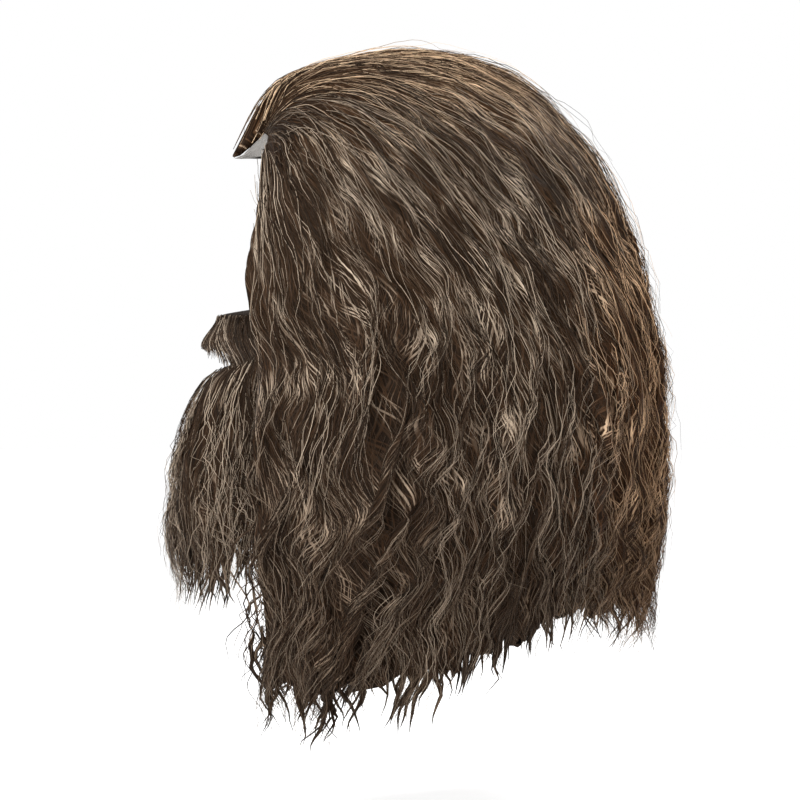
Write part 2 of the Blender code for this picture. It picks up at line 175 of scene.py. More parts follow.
def toward(azimuth, height):
    """The direction of an azimuth, which is 0 ahead and grows to the wearer's left, and a height, in degrees."""
    a, h = np.radians(azimuth), np.radians(height)
    return np.stack((np.sin(a) * np.cos(h), -np.cos(a) * np.cos(h), np.sin(h)), -1)


def cap_point(side, along, distance):
    """A point of a stroke over the cap, this far outside the cap's inner face."""
    line, over, rim = (toward(column(n, side, 0), column(n, side, 1)) for n in ("line", "over", "rim"))
    pull = column("pull", side)[..., None]
    w = along[..., None]
    found = unit((1 - w) ** 2 * line + 2 * pull * w * (1 - w) * over + w**2 * rim)
    found[..., 0] *= np.where(side >= 0, 1, -1)
    radii = np.stack([HEAD[0] / 2 + distance, HEAD[1] / 2 + distance, HEAD[2] + distance], -1)
    return found * radii - np.array((0, HEAD_FORWARD, HEAD[2]))


def peak_share(side, along):
    """How much of the peak's reach a place has, from 0 to 1."""
    return step(1 - np.abs(side) / PEAK_SIDE) * np.maximum(1 - along / PEAK_END, 0) ** 2


def flank(side):
    """1 on the two sides of the peak, where the lace shows, and 0 elsewhere."""
    return step((np.abs(side) - 0.07) / 0.07) * (1 - step((np.abs(side) - 0.34) / 0.16))


def on_cap(side, along, outer):
    """A point of the hair's outer or inner face over the cap."""
    peak = peak_share(side, along)
    distance = np.full(side.shape, HAIR_ROOT)
    if outer:
        off = curve(OFF_PLACES, [column("off", side, i) for i in range(len(OFF_PLACES))], along)
        off *= 1 - FLANK_THINNING * flank(side) * (1 - step(along / FLANK_REACH))
        distance = distance + NAPE_VOLUME * off * (1 - PEAK_THINNING * peak)
    point = cap_point(side, along, distance)
    point += np.array((0, -PEAK_LIFT, -PEAK_DROP)) * peak[..., None]
    if outer:
        middle, rim = column("drape", side, 0), column("drape", side, 1)
        point[..., 1] -= FRONT_DRAPE * curve((0.0, 0.5, 1.0), (0 * middle, middle, rim), along)
    return point


def hem(side, inset):
    """A point of the hem, this far in from its outer edge."""
    out = column("out", side) * HAIR_WIDTH / 2
    y = column("back", side) * BACK_REACH - column("front", side) * FRONT_REACH
    flat = np.stack((np.where(side >= 0, out, -out), y, 0 * y), -1)
    flat -= unit(flat) * inset
    flat[..., 2] = inset * HEM_SLANT - column("down", side) * HAIR_LENGTH
    return flat


def hanging(side, along, outer):
    """A point of the hair's outer or inner face from the cap's rim down to the hem."""
    one = np.ones(side.shape)
    start, before = on_cap(side, one, outer), on_cap(side, one * RIM_STEP, outer)
    end = hem(side, 0 if outer else WALL_AT_HEM)
    reach = np.linalg.norm(end - start, axis=-1, keepdims=True)
    leaving = unit(start - before) * reach * (OUTER_BOW if outer else INNER_BOW)
    x = np.clip(along, 0, 1)[..., None]
    point = hermite(x, 1, start, end, leaving, np.array((0, 0, -HEM_FALL)) * reach)
    if not outer:
        away = point + np.array((0, HEAD_FORWARD, 0))
        away[..., 2] = 0
        point += unit(away) * BEARD_ROOM * np.sin(np.pi * x) ** 0.6
    beyond = np.maximum(along - 1, 0)[..., None]
    return point + np.array((0, 0, -1)) * reach * beyond


def face_point(azimuth, level, distance):
    """A point off the face: level runs from the cheek line down to the chin line."""
    width = curve(FACE_LEVELS, FACE_WIDTHS, level) * HEAD[0] / 2 + distance
    depth = curve(FACE_LEVELS, FACE_DEPTHS, level) * FACE_DEPTH + distance
    a = np.radians(azimuth)
    aside = 1 - np.cos(a)
    top = LIP_DROP + (CHEEK_DROP - LIP_DROP) * aside
    bottom = CHIN_DROP + (JAW_DROP - CHIN_DROP) * aside
    return np.stack((width * np.sin(a), -EAR_BACK - depth * np.cos(a), -top - (bottom - top) * level), -1)


def beard_surface(side, along, outer):
    """A point on the beard's outer face or its inner one. side runs from cheek to cheek."""
    azimuth = BEARD_EDGE * side
    middle = np.cos(np.radians(azimuth))
    cheek = step((np.abs(azimuth) - MOUSTACHE_EDGE) / CHEEK_BLEND)
    start = BEARD_STARTS[0] * (1 - cheek) + BEARD_STARTS[1] * cheek
    tip = -BEARD_LENGTH * (1 - BEARD_ROUNDING * (1 - middle))
    below = face_point(azimuth, np.ones(side.shape), BASE_FACE)
    ahead = below + np.array((0, EAR_BACK, 0))
    ahead[..., 2] = 0
    ahead = unit(ahead)
    if not outer:
        held = np.clip(along / BEARD_HELD, 0, 1)
        fall = np.clip((along - BEARD_HELD) / (1 - BEARD_HELD), 0, 1)
        point = face_point(azimuth, start + (1 - start) * held, BASE_FACE)
        point += ahead * (step(fall) * BEARD_FORWARD * 0.5 * middle)[..., None]
        point[..., 2] += (tip + BEARD_TIP - below[..., 2]) * fall
        return point
    root = face_point(azimuth, start, BASE_FACE + BEARD_ROOT)
    mix = step(along)[..., None]
    point = root * (1 - mix) + below * mix
    point[..., 2] = root[..., 2] + (tip - root[..., 2]) * along
    grown = (BEARD_SIDE + (BEARD_FORWARD - BEARD_SIDE) * middle**2) * curve(
        (0.0, 0.2, 0.5, 0.8, 1.0), (0.0, 0.5, 0.9, 1.0, 0.85), along
    )
    grown = grown + BEARD_ROOT * step(along * 4) + BEARD_SWELL * middle * step(along)
    grown = grown + LIP_SWELL * middle * step(along * 14) * (1 - step(along * 2.5))
    return point + ahead * grown[..., None]


class Flow:
    """A surface that hair lies on: places by side and along, with the way out and the lengths."""

    def __init__(self, surface, side_range, along_range, centre, sides=321, alongs=321):
        self.side = np.linspace(*side_range, sides)
        self.along = np.linspace(*along_range, alongs)
        side, along = np.meshgrid(self.side, self.along, indexing="ij")
        self.point = surface(side, along)
        across = np.gradient(self.point, self.side, axis=0)
        down = np.gradient(self.point, self.along, axis=1)
        out = unit(np.cross(across, down))
        away = self.point - np.asarray(centre)
        out *= np.where(np.sum(out * away, -1, keepdims=True) < 0, -1, 1)
        for _ in range(6):
            padded = np.pad(out, ((1, 1), (1, 1), (0, 0)), "edge")
            out = unit(padded[:-2, 1:-1] + padded[2:, 1:-1] + padded[1:-1, :-2] + padded[1:-1, 2:] + out)
        self.out = out
        self.width = np.linalg.norm(across, axis=-1)
        steps = np.linalg.norm(np.diff(self.point, axis=1), axis=-1)
        self.length = np.concatenate((np.zeros((sides, 1)), np.cumsum(steps, 1)), 1)

    def at(self, grid, side, along):
        """grid read smoothly between its places."""
        x = (side - self.side[0]) / (self.side[-1] - self.side[0]) * (len(self.side) - 1)
        y = (along - self.along[0]) / (self.along[-1] - self.along[0]) * (len(self.along) - 1)
        x = np.clip(x, 0, len(self.side) - 1.001)
        y = np.clip(y, 0, len(self.along) - 1.001)
        i, j = x.astype(int), y.astype(int)
        x, y = x - i, y - j
        if grid.ndim == 3:
            x, y = x[..., None], y[..., None]
        upper = grid[i, j] * (1 - x) + grid[i + 1, j] * x
        lower = grid[i, j + 1] * (1 - x) + grid[i + 1, j + 1] * x
        return upper * (1 - y) + lower * y

    def down_to(self, side, along):
        """How long the strokes are from their start down to one along value."""
        return self.at(self.length, side, np.full(len(side), along))

    def along_at(self, side, length):
        """Where on each stroke, by its side, these lengths are. length has a row for each stroke."""
        index = np.clip(np.searchsorted(self.side, side), 0, len(self.side) - 1)
        return np.stack([np.interp(row, self.length[i], self.along) for i, row in zip(index, length)])

    def scattered(self, count, rng, along_range):
        """Places spread evenly over the surface between two along values."""
        area = self.width * np.gradient(self.length, axis=1)
        inside = (self.along >= along_range[0]) & (self.along <= along_range[1])
        total = np.cumsum((area * inside[None, :]).ravel())
        pick = np.searchsorted(total, rng.random(count) * total[-1])
        i, j = np.unravel_index(np.clip(pick, 0, area.size - 1), area.shape)
        side = self.side[i] + (rng.random(count) - 0.5) * (self.side[1] - self.side[0])
        along = self.along[j] + (rng.random(count) - 0.5) * (self.along[1] - self.along[0])
        side = np.clip(side, self.side[0], self.side[-1])
        return side, np.clip(along, *along_range)


def wig_surface(side, along, outer=True):
    """The wig's outer face: along is 0 to 1 over the cap, 1 to 2 down to the hem, and more below it."""
    over = on_cap(side, np.minimum(along, 1), outer)
    return np.where((along <= 1)[..., None], over, hanging(side, along - 1, outer))


def wig_inside(side, along):
    """The wig's inner face, read as its outer one."""
    return wig_surface(side, along, False)


def smooth_noise(x, y, seed):
    """Smooth noise from -1 to 1 on a lattice of one unit."""
    table = np.random.default_rng(seed).uniform(-1, 1, (64, 64))
    i, j = np.floor(x).astype(int), np.floor(y).astype(int)
    u, v = step(x - i), step(y - j)
    a, b = table[i % 64, j % 64], table[(i + 1) % 64, j % 64]
    c, d = table[i % 64, (j + 1) % 64], table[(i + 1) % 64, (j + 1) % 64]
    return (a * (1 - u) + b * u) * (1 - v) + (c * (1 - u) + d * u) * v


# Meshes from arrays


def mesh_object(name, points, faces, maps, material):
    """An object from points, lists of corner arrays with one face to a row, and UV maps in their order."""
    mesh = bpy.data.meshes.new(name)
    corners = np.concatenate([block.ravel() for block in faces]).astype(np.int32)
    sizes = np.concatenate([np.full(len(block), block.shape[1]) for block in faces])
    mesh.vertices.add(len(points))
    mesh.vertices.foreach_set("co", np.ascontiguousarray(points, np.float32).ravel())
    mesh.loops.add(len(corners))
    mesh.loops.foreach_set("vertex_index", corners)
    mesh.polygons.add(len(sizes))
    mesh.polygons.foreach_set("loop_start", np.concatenate(((0,), np.cumsum(sizes)[:-1])).astype(np.int32))
    mesh.update(calc_edges=True)
    for key, blocks in maps.items():
        layer = mesh.uv_layers.new(name=key)
        flat = np.concatenate([block.reshape(-1, 2) for block in blocks])
        layer.data.foreach_set("uv", np.ascontiguousarray(flat, np.float32).ravel())
    mesh.shade_smooth()
    mesh.materials.append(material)
    made = bpy.data.objects.new(name, mesh)
    bpy.context.scene.collection.objects.link(made)
    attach(made, "root")
    return made


def corner_map(u0, u1, v0, v1):
    """The UVs of quads whose corners run (u0, v0), (u1, v0), (u1, v1), (u0, v1)."""
    u0, u1, v0, v1 = np.broadcast_arrays(u0, u1, v0, v1)
    return np.stack((u0, v0, u1, v0, u1, v1, u0, v1), -1).reshape(-1, 4, 2)


def tubes(name, paths, outs, radii, flatness, sides, palette, material, cells=None):
    """Closed tapered tubes along paths, for strands, or for flat locks where cells are given.

    palette holds each tube's place on the colour card, and cells how many columns and rows of
    separate places the map has. A lock also carries a map of its fibres in metres.
    """
    count, rings = paths.shape[:2]
    forward = unit(np.gradient(paths, axis=1))
    across = unit(np.cross(outs, forward))
    up = np.cross(forward, across)
    turn = 2 * np.pi * np.arange(sides) / sides
    ring = across[:, :, None] * np.cos(turn)[:, None] + up[:, :, None] * (np.sin(turn)[:, None] * flatness)
    points = paths[:, :, None] + ring * radii[:, :, None, None]
    index = np.arange(count * rings * sides).reshape(count, rings, sides)
    after = np.roll(index, -1, axis=2)
    quads = np.stack((index[:, :-1], after[:, :-1], after[:, 1:], index[:, 1:]), -1).reshape(-1, 4)
    k = np.arange(sides)
    place = np.arange(rings) / (rings - 1)
    if cells is None:
        base_u, base_v = palette[:, 0, None, None], palette[:, 1, None, None]
        wide, long = CARD_SPOT
    else:
        columns, rows = cells
        own = np.arange(count)
        base_u = ((own % columns) / columns + 0.04 / columns)[:, None, None]
        base_v = ((own // columns) / rows + 0.04 / rows)[:, None, None]
        wide, long = 0.92 / columns, 0.92 / rows
    u0, u1 = base_u + wide * k / sides, base_u + wide * (k + 1) / sides
    v0, v1 = base_v + long * place[:-1, None], base_v + long * place[1:, None]
    disc = np.stack((np.cos(turn), np.sin(turn)), -1) * 0.2 * min(wide, long)
    ends = []
    for share in (0.2, 0.8):
        middle = np.stack((base_u[:, 0, 0] + wide / 2, base_v[:, 0, 0] + long * share), -1)
        ends.append(middle[:, None] + disc)
    maps = {"OFBake": [corner_map(u0, u1, v0, v1), *ends]}
    if cells is not None:
        steps = np.linalg.norm(np.diff(paths, axis=1), axis=-1)
        along = np.concatenate((np.zeros((count, 1)), np.cumsum(steps, 1)), 1) + palette[:, 1, None]
        first, reach = palette[:, 0, None, None], radii.max(1)[:, None, None]
        x0, x1 = first + reach * np.cos(turn), first + reach * np.cos(turn + 2 * np.pi / sides)
        maps["Fibres"] = [corner_map(x0, x1, along[:, :-1, None], along[:, 1:, None])]
        for y in (along[:, 0], along[:, -1]):
            spot = np.stack((x0[:, 0, 0], y), -1)[:, None]
            maps["Fibres"].append(np.broadcast_to(spot, (count, sides, 2)))
    faces = [quads, index[:, 0, ::-1], index[:, -1]]
    return mesh_object(name, points.reshape(-1, 3), faces, maps, material)


def shell(name, outer, inner, across, along, material):
    """A closed body with a fine outer grid and a coarse inner one, rows down and columns across.

    Every few outer rows and columns share one row and column of the inner grid.
    """
    rows, columns = outer.shape[:2]
    inner_rows, inner_columns = inner.shape[:2]
    down, wide = (rows - 1) // (inner_rows - 1), (columns - 1) // (inner_columns - 1)
    points = np.concatenate((outer.reshape(-1, 3), inner.reshape(-1, 3)))
    index = np.arange(rows * columns).reshape(rows, columns)
    other = np.arange(inner_rows * inner_columns).reshape(inner_rows, inner_columns) + rows * columns
    thread = np.stack((across, along), -1)
    faces, places, fibres = [], [], []

    def add(corners, spots, threads):
        faces.append(corners.reshape(-1, corners.shape[-1]))
        places.append(np.broadcast_to(spots, (*corners.shape, 2)).reshape(-1, corners.shape[-1], 2))
        fibres.append(threads.reshape(-1, corners.shape[-1], 2))

    def quads(grid):
        return np.stack((grid[:-1, :-1], grid[1:, :-1], grid[1:, 1:], grid[:-1, 1:]), 2)

    def spots_of(count_u, first_v, last_v, count_v):
        u, v = np.linspace(0.01, 0.99, count_u), np.linspace(first_v, last_v, count_v)
        return quads(np.stack(np.broadcast_arrays(u[None, :], v[:, None]), -1))

    add(quads(index), spots_of(columns, 0.01, 0.74, rows), quads(thread))
    inner_spots = spots_of(inner_columns, 0.99, 0.80, inner_rows)
    add(quads(other)[..., ::-1], inner_spots[..., ::-1, :], quads(thread[::down, ::wide])[..., ::-1, :])
    for line, near, own, through, edge, turn in (
        (index[0], other[0], thread[0], (0, 0.004), 0.755, 1),
        (index[-1], other[-1], thread[-1], (0, 0.004), 0.765, -1),
        (index[:, 0], other[:, 0], thread[:, 0], (0.014, 0), 0.785, -1),
        (index[:, -1], other[:, -1], thread[:, -1], (0.014, 0), 0.775, 1),
    ):
        every = (len(line) - 1) // (len(near) - 1)
        strip = np.linspace(0, 1, every + 1) * 0.9 + 0.05
        spots = np.stack((np.concatenate((strip, (0.95, 0.05))), np.full(every + 3, edge)), -1)
        spots[-2:, 1] += 0.006
        for k in range(len(near) - 1):
            part = slice(k * every, (k + 1) * every + 1)
            ring = np.concatenate((line[part], near[[k + 1, k]]))
            threads = np.concatenate((own[part], own[part][[-1, 0]] + through))
            add(ring[::turn][None], spots[::turn], threads[::turn][None])
    return mesh_object(name, points, faces, {"OFBake": places, "Fibres": fibres}, material)


# Materials


def node(tree, kind, **values):
    """A node with its settings. in_2 sets the value of its input 2."""
    made = tree.nodes.new(kind)
    for key, value in values.items():
        if key.startswith("in_"):
            made.inputs[int(key[3:])].default_value = value
        else:
            setattr(made, key, value)
    return made


def math_node(tree, operation, *sources):
    """A Math node fed by sockets or numbers."""
    made = node(tree, "ShaderNodeMath", operation=operation)
    for i, source in enumerate(sources):
        if isinstance(source, (int, float)):
            made.inputs[i].default_value = source
        else:
            tree.links.new(source, made.inputs[i])
    return made.outputs[0]


def remap(tree, source, low, high, first=0.0, last=1.0):
    """A socket's value, led from between low and high to between first and last."""
    made = node(tree, "ShaderNodeMapRange")
    for key, value in (("From Min", low), ("From Max", high), ("To Min", first), ("To Max", last)):
        made.inputs[key].default_value = value
    tree.links.new(source, made.inputs["Value"])
    return made.outputs[0]


def mix_colour(tree, factor, first, second, blend="MIX"):
    """Two colours mixed. Each source is a socket or a constant."""
    made = node(tree, "ShaderNodeMix", data_type="RGBA", blend_type=blend)
    for socket, source in ((made.inputs[0], factor), (made.inputs[6], first), (made.inputs[7], second)):
        if isinstance(source, (int, float)):
            socket.default_value = source
        elif isinstance(source, tuple):
            socket.default_value = (*source, 1)
        else:
            tree.links.new(source, socket)
    return made.outputs[2]


def own_map(tree, name):
    """One of the piece's own maps: the whole of it, and its two values."""
    where, split = node(tree, "ShaderNodeUVMap", uv_map=name), node(tree, "ShaderNodeSeparateXYZ")
    tree.links.new(where.outputs[0], split.inputs[0])
    return where.outputs[0], split.outputs[0], split.outputs[1]


def add_relief(tree, shader, height, strength, distance):
    """Gives the shader the relief of a height."""
    lift = node(tree, "ShaderNodeBump")
    lift.inputs["Strength"].default_value = strength
    lift.inputs["Distance"].default_value = distance
    tree.links.new(height, lift.inputs["Height"])
    tree.links.new(lift.outputs[0], shader.inputs["Normal"])


def new_group(name, inputs, outputs):
    """An empty node group with its two ends. A socket is its name and kind."""
    tree = bpy.data.node_groups.new(name, "ShaderNodeTree")
    for in_out, sockets in (("INPUT", inputs), ("OUTPUT", outputs)):
        for key, kind in sockets:
            tree.interface.new_socket(key, in_out=in_out, socket_type="NodeSocket" + kind)
    return tree, node(tree, "NodeGroupInput"), node(tree, "NodeGroupOutput")


def tone_group():
    """A hair colour from its tone: dark, middle and light."""
    found = bpy.data.node_groups.get("Hair Tone")
    if found:
        return found
    colours = ((key, "Color") for key in ("Tint", "Dark", "Middle", "Light"))
    tree, start, end = new_group("Hair Tone", (("Tone", "Float"), *colours), (("Color", "Color"),))
    lower = remap(tree, start.outputs["Tone"], 0.0, 0.5)
    upper = remap(tree, start.outputs["Tone"], 0.5, 1.0)
    first = mix_colour(tree, lower, start.outputs["Dark"], start.outputs["Middle"])
    second = mix_colour(tree, upper, first, start.outputs["Light"])
    tree.links.new(mix_colour(tree, 1.0, second, start.outputs["Tint"], "MULTIPLY"), end.inputs["Color"])
    return tree


def fibre_group():
    """Fine hairs in crossing layers, read from a map of metres across and along the hair."""
    found = bpy.data.node_groups.get("Fine Fibres")
    if found:
        return found
    tree, start, end = new_group("Fine Fibres", (("Map", "Vector"),), (("Tone", "Float"), ("Height", "Float")))
    split = node(tree, "ShaderNodeSeparateXYZ")
    tree.links.new(start.outputs["Map"], split.inputs[0])
    across, along = split.outputs[0], split.outputs[1]

    def streaks(source, width, length, detail, seed):
        both = node(tree, "ShaderNodeCombineXYZ", in_2=seed)
        tree.links.new(math_node(tree, "MULTIPLY", source, 1 / width), both.inputs[0])
        tree.links.new(math_node(tree, "MULTIPLY", along, 1 / length), both.inputs[1])
        noise = node(tree, "ShaderNodeTexNoise")
        noise.inputs["Scale"].default_value = 1.0
        noise.inputs["Detail"].default_value = detail
        noise.inputs["Roughness"].default_value = 0.55
        tree.links.new(both.outputs[0], noise.inputs["Vector"])
        return noise.outputs["Fac"]

    root = remap(tree, along, 0.05, 0.14)
    layers = []
    for i, (slant, reach) in enumerate(((0.0, 1.0), (0.20, 0.9), (-0.24, 0.85))):
        bend = math_node(tree, "MULTIPLY_ADD", streaks(across, 0.012, 0.030, 1.0, 20.0 + i), 0.0032, across)
        leaning = math_node(tree, "MULTIPLY_ADD", along, slant, bend)
        threads = remap(tree, streaks(leaning, 0.00055, 0.05, 0.0, 3.7 + 5 * i), 0.54, 0.68)
        patch = remap(tree, streaks(across, 0.006, 0.035, 1.0, 40.0 + i), 0.34, 0.60, 0.35, 1.0)
        layers.append(math_node(tree, "MULTIPLY", math_node(tree, "MULTIPLY", threads, patch), reach))
    loose = math_node(tree, "MAXIMUM", layers[0], math_node(tree, "MAXIMUM", layers[1], layers[2]))
    near = remap(tree, streaks(math_node(tree, "MULTIPLY", across, 0.6), 0.0007, 0.06, 1.0, 3.1), 0.44, 0.70)
    fine = node(tree, "ShaderNodeMix", data_type="FLOAT")
    tree.links.new(root, fine.inputs[0])
    tree.links.new(near, fine.inputs[2])
    tree.links.new(loose, fine.inputs[3])
    middle = remap(tree, streaks(across, 0.0030, 0.04, 1.0, 9.1), 0.34, 0.68)
    # broad patches of painted shade along the hair, darkening the tone down to half, with a little painted light
    # elsewhere
    painted_shade_patches = remap(tree, streaks(across, 0.020, 0.045, 1.0, 5.3), 0.34, 0.66, 0.50, 1.20)
    value = math_node(tree, "MULTIPLY_ADD", fine.outputs[0], 0.88, math_node(tree, "MULTIPLY", middle, 0.10))
    tree.links.new(math_node(tree, "MULTIPLY", value, painted_shade_patches), end.inputs["Tone"])
    height = math_node(tree, "MULTIPLY_ADD", fine.outputs[0], 0.6, math_node(tree, "MULTIPLY", middle, 0.4))
    tree.links.new(height, end.inputs["Height"])
    return tree


def new_material(name, gloss, roughness):
    """A new material, with its tree and its shader."""
    made = bpy.data.materials.new(name)
    made.use_nodes = True
    shader = made.node_tree.nodes["Principled BSDF"]
    shader.inputs["Specular IOR Level"].default_value = gloss
    shader.inputs["Roughness"].default_value = roughness
    return made, made.node_tree, shader


def hair_shader(name, gloss):
    """The start of a hair material: a shader coloured by a tone, which is still to be fed."""
    s = settings()
    made, tree, shader = new_material(name, gloss, 0.4)
    shader.inputs["Specular Tint"].default_value = (1.0, 0.84, 0.68, 1)
    tone = node(tree, "ShaderNodeGroup", node_tree=tone_group())
    for key, colour in (("Dark", s.hair_dark), ("Middle", s.hair_middle), ("Light", s.hair_light)):
        tone.inputs[key].default_value = (*colour, 1)
    tree.links.new(tone.outputs["Color"], shader.inputs["Base Color"])
    return made, tree, shader, tone


def strand_look():
    """Single strands: u is where on the head a strand belongs, which brings a painted highlight on the top and a
    painted warm glow of backlight at the back, and v its tone.
    """
    found = bpy.data.materials.get("Brown Strands")
    if found:
        return found
    made, tree, shader, tone = hair_shader("Brown Strands", 0.35)
    _, region, own_tone = own_map(tree, "OFBake")
    tree.links.new(own_tone, tone.inputs["Tone"])
    # painted highlight for strands on the top of the head
    top_painted_light = remap(tree, region, 0.35, 0.05)
    # painted warm glow of backlight for strands at the back edge
    back_painted_glow = remap(tree, region, 0.65, 0.95)
    tint = mix_colour(tree, back_painted_glow, mix_colour(tree, top_painted_light, PLAIN, TOP_PAINTED_LIGHT), BACK_PAINTED_GLOW)
    tree.links.new(tint, tone.inputs["Tint"])
    tree.links.new(remap(tree, own_tone, 0.0, 1.0, 0.5, 0.34), shader.inputs["Roughness"])
    return made


def fibre_look():
    """Dense hair: fibres run down the map of fibres, and the tint follows the place on the head: painted light
    on the top, a painted warm glow of backlight at the upper back and painted shade lower down.
    """
    found = bpy.data.materials.get("Brown Hair")
    if found:
        return found
    made, tree, shader, tone = hair_shader("Brown Hair", 0.14)
    where = node(tree, "ShaderNodeUVMap", uv_map="Fibres")
    fibres = node(tree, "ShaderNodeGroup", node_tree=fibre_group())
    tree.links.new(where.outputs[0], fibres.inputs["Map"])
    tree.links.new(fibres.outputs["Tone"], tone.inputs["Tone"])
    place, spot = node(tree, "ShaderNodeTexCoord"), node(tree, "ShaderNodeSeparateXYZ")
    tree.links.new(place.outputs["Object"], spot.inputs[0])
    _, y, z = spot.outputs
    # painted highlight on the top of the head
    top_painted_light = remap(tree, z, -0.075, -0.01)
    # painted warm glow of backlight at the upper back edge
    back_painted_glow = math_node(tree, "MULTIPLY", remap(tree, y, 0.10, 0.16), remap(tree, z, 0.0, -0.10))
    # painted shade: the hair is darker lower down
    plain = mix_colour(tree, remap(tree, z, -0.12, -0.34), PLAIN, LOW_PAINTED_SHADE)
    tint = mix_colour(tree, back_painted_glow, mix_colour(tree, top_painted_light, plain, TOP_PAINTED_LIGHT), BACK_PAINTED_GLOW)
    tree.links.new(tint, tone.inputs["Tint"])
    tree.links.new(remap(tree, fibres.outputs["Tone"], 0.0, 1.0, 0.55, 0.34), shader.inputs["Roughness"])
    add_relief(tree, shader, fibres.outputs["Height"], 1.0, 0.0014)
    return made


# Waves, locks and paths


def waves(q, length, point, seed, jitter=(0.0, 0.0), beard=False):
    """How far hair waves across and outward at a place, alike for hairs that lie together."""
    low = step((-point[..., 2] - 0.04) / 0.20)
    front = step((0.05 - point[..., 1]) / 0.07) * step((-point[..., 2] - 0.10) / 0.10)
    big = 0.0013 + 0.0024 * low + 0.0050 * front
    small = 0.0008 + 0.0013 * low
    if beard:
        big, small = 0.0046 * step(length / 0.04), 0.0021 * step(length / 0.02)
    easing = step(length / 0.07)
    lumps = smooth_noise(q * 19 + 31, length / 0.15 + 3, seed)
    finer = smooth_noise(q * 52 + 17, length / 0.08 + 7, seed + 1)
    stronger = 0.65 + 0.5 * smooth_noise(q * 33 + 5, length / 0.06 + 1, seed + 2)
    phase = 2 * np.pi * length / 0.076 + 5.0 * lumps + jitter[0]
    crimp = 2 * np.pi * length / 0.030 + 5.0 * finer + jitter[1]
    aside = (big * np.sin(phase) + small * stronger * np.sin(crimp)) * easing
    outward = (0.5 * big * np.cos(phase + 0.6) + 0.6 * small * stronger * np.cos(crimp)) * easing
    outward = outward * (1 + step((point[..., 1] - 0.09) / 0.05))
    return aside, outward


def locks_relief(q, length, width, seed):
    """How high the locks stand, as nested rounded ridges with grooves between, in metres about zero."""
    height = np.zeros(q.shape)
    for i, count in enumerate((26, 55, 118, 250, 540)):
        size = 2 * width / count
        depth = 0.20 * np.minimum(size, 0.020) * step((size - 0.0018) / 0.0025) * step((0.05 - size) / 0.02)
        aside = 0.42 * smooth_noise(q * count * 0.35 + 20, length / 0.055 + 9 * i, seed + 3 * i)
        x = q * count / 2 + 40 + aside
        own = np.floor(x)
        ridge = np.sqrt(np.clip(1 - (2 * (x - own) - 1) ** 2, 0, 1))
        stands = 0.62 + 0.38 * smooth_noise(own * 1.37 + 3, length / 0.045 + own * 0.61, seed + 50 + i)
        height += depth * (ridge * stands - 0.42)
    return height


def sweep(q):
    """Which way the hair drifts off its strokes: backward at both sides, and not at all at the back."""
    return np.sin(np.clip(q / 0.45, -1, 1) * np.pi / 2)


def drifted(q, length):
    """The side that a place's locks and waves are read at, so that they sweep backward on their way down."""
    return q + DRIFT * (length - DRIFT_START) * sweep(q)


def hair_paths(flow, q, start, length, rings, rise, seed, shift=0.0, jitter=(0.0, 0.0), beard=False):
    """Paths of hairs that start this far down their strokes, with the ways out.

    rise is each hair's height off the locks at each ring, and shift how far it lies beside its stroke.
    """
    place = np.linspace(0, 1, rings)[None, :]
    lengths = start[:, None] + length[:, None] * place
    alongs = flow.along_at(q, lengths)
    sides = np.broadcast_to(q[:, None], alongs.shape)
    width = np.maximum(flow.at(flow.width, sides, alongs), 0.02)
    sides = sides + shift / width
    base = flow.at(flow.point, sides, alongs)
    lock = sides if beard else drifted(sides, lengths)
    aside, outward = waves(lock, lengths, base, seed, jitter, beard)
    relief = locks_relief(lock, lengths, width, seed)
    target = sides + aside / width
    moved = np.clip(target, flow.side[0], flow.side[-1])
    points = flow.at(flow.point, moved, alongs)
    outs = flow.at(flow.out, moved, alongs)
    down = unit(np.gradient(points, axis=1))
    points = points + outs * (relief + rise + outward)[..., None]
    return points + np.cross(down, outs) * ((target - moved) * width)[..., None], outs


def strand_card(points, rng, low=0.25, high=1.0, lift=0.0):
    """Each strand's place on the colour card: by where it lies, which picks painted light on the top and at the
    back, and a tone of its own, with lumps of painted light and shade, painted light higher up and painted shade
    lower down.
    """
    middle = points[:, points.shape[1] // 2]
    # top and back pick the painted highlight on the top and the painted warm glow of backlight at the back
    top = step((middle[:, 2] + 0.06) / 0.05)
    back = step((middle[:, 1] - 0.10) / 0.05) * (1 - top)
    u = 0.5 - 0.46 * top + 0.42 * back + rng.uniform(-0.05, 0.05, len(points))
    x, y, z = middle.T
    # lumps of painted light and shade, standing in for the bands of light across the waves
    painted_light_lumps = smooth_noise((y + 0.5 * np.abs(x)) / 0.020 + 40, (0.7 * z - 0.5 * y) / 0.040 + 40, 87)
    kind = rng.random(len(points)) + 0.22 * painted_light_lumps
    dark, light = kind < 0.36, kind > 0.74
    share = np.where(light, 0.72 + 0.28 * rng.random(len(points)), 0.42 * rng.random(len(points)))
    tone = low + (high - low) * share
    tone = np.where(dark, 0.08 * rng.random(len(points)), tone)
    # painted light: strands in the painted lumps and higher up are lighter
    tone = np.where(dark, tone, tone * (1 + 0.3 * painted_light_lumps) + lift + 0.20 * step((z + 0.16) / 0.12))
    # painted shade: strands lower down are darker
    tone *= 1 - 0.38 * step((-middle[:, 2] - 0.14) / 0.20)
    return np.stack((np.clip(u, 0.01, 0.97), np.clip(tone, 0.01, 0.94)), -1)


def front_cut(q):
    """How far up its stroke the hair starts beside the peak, where the lace shows."""
    return 0.075 * flank(q)


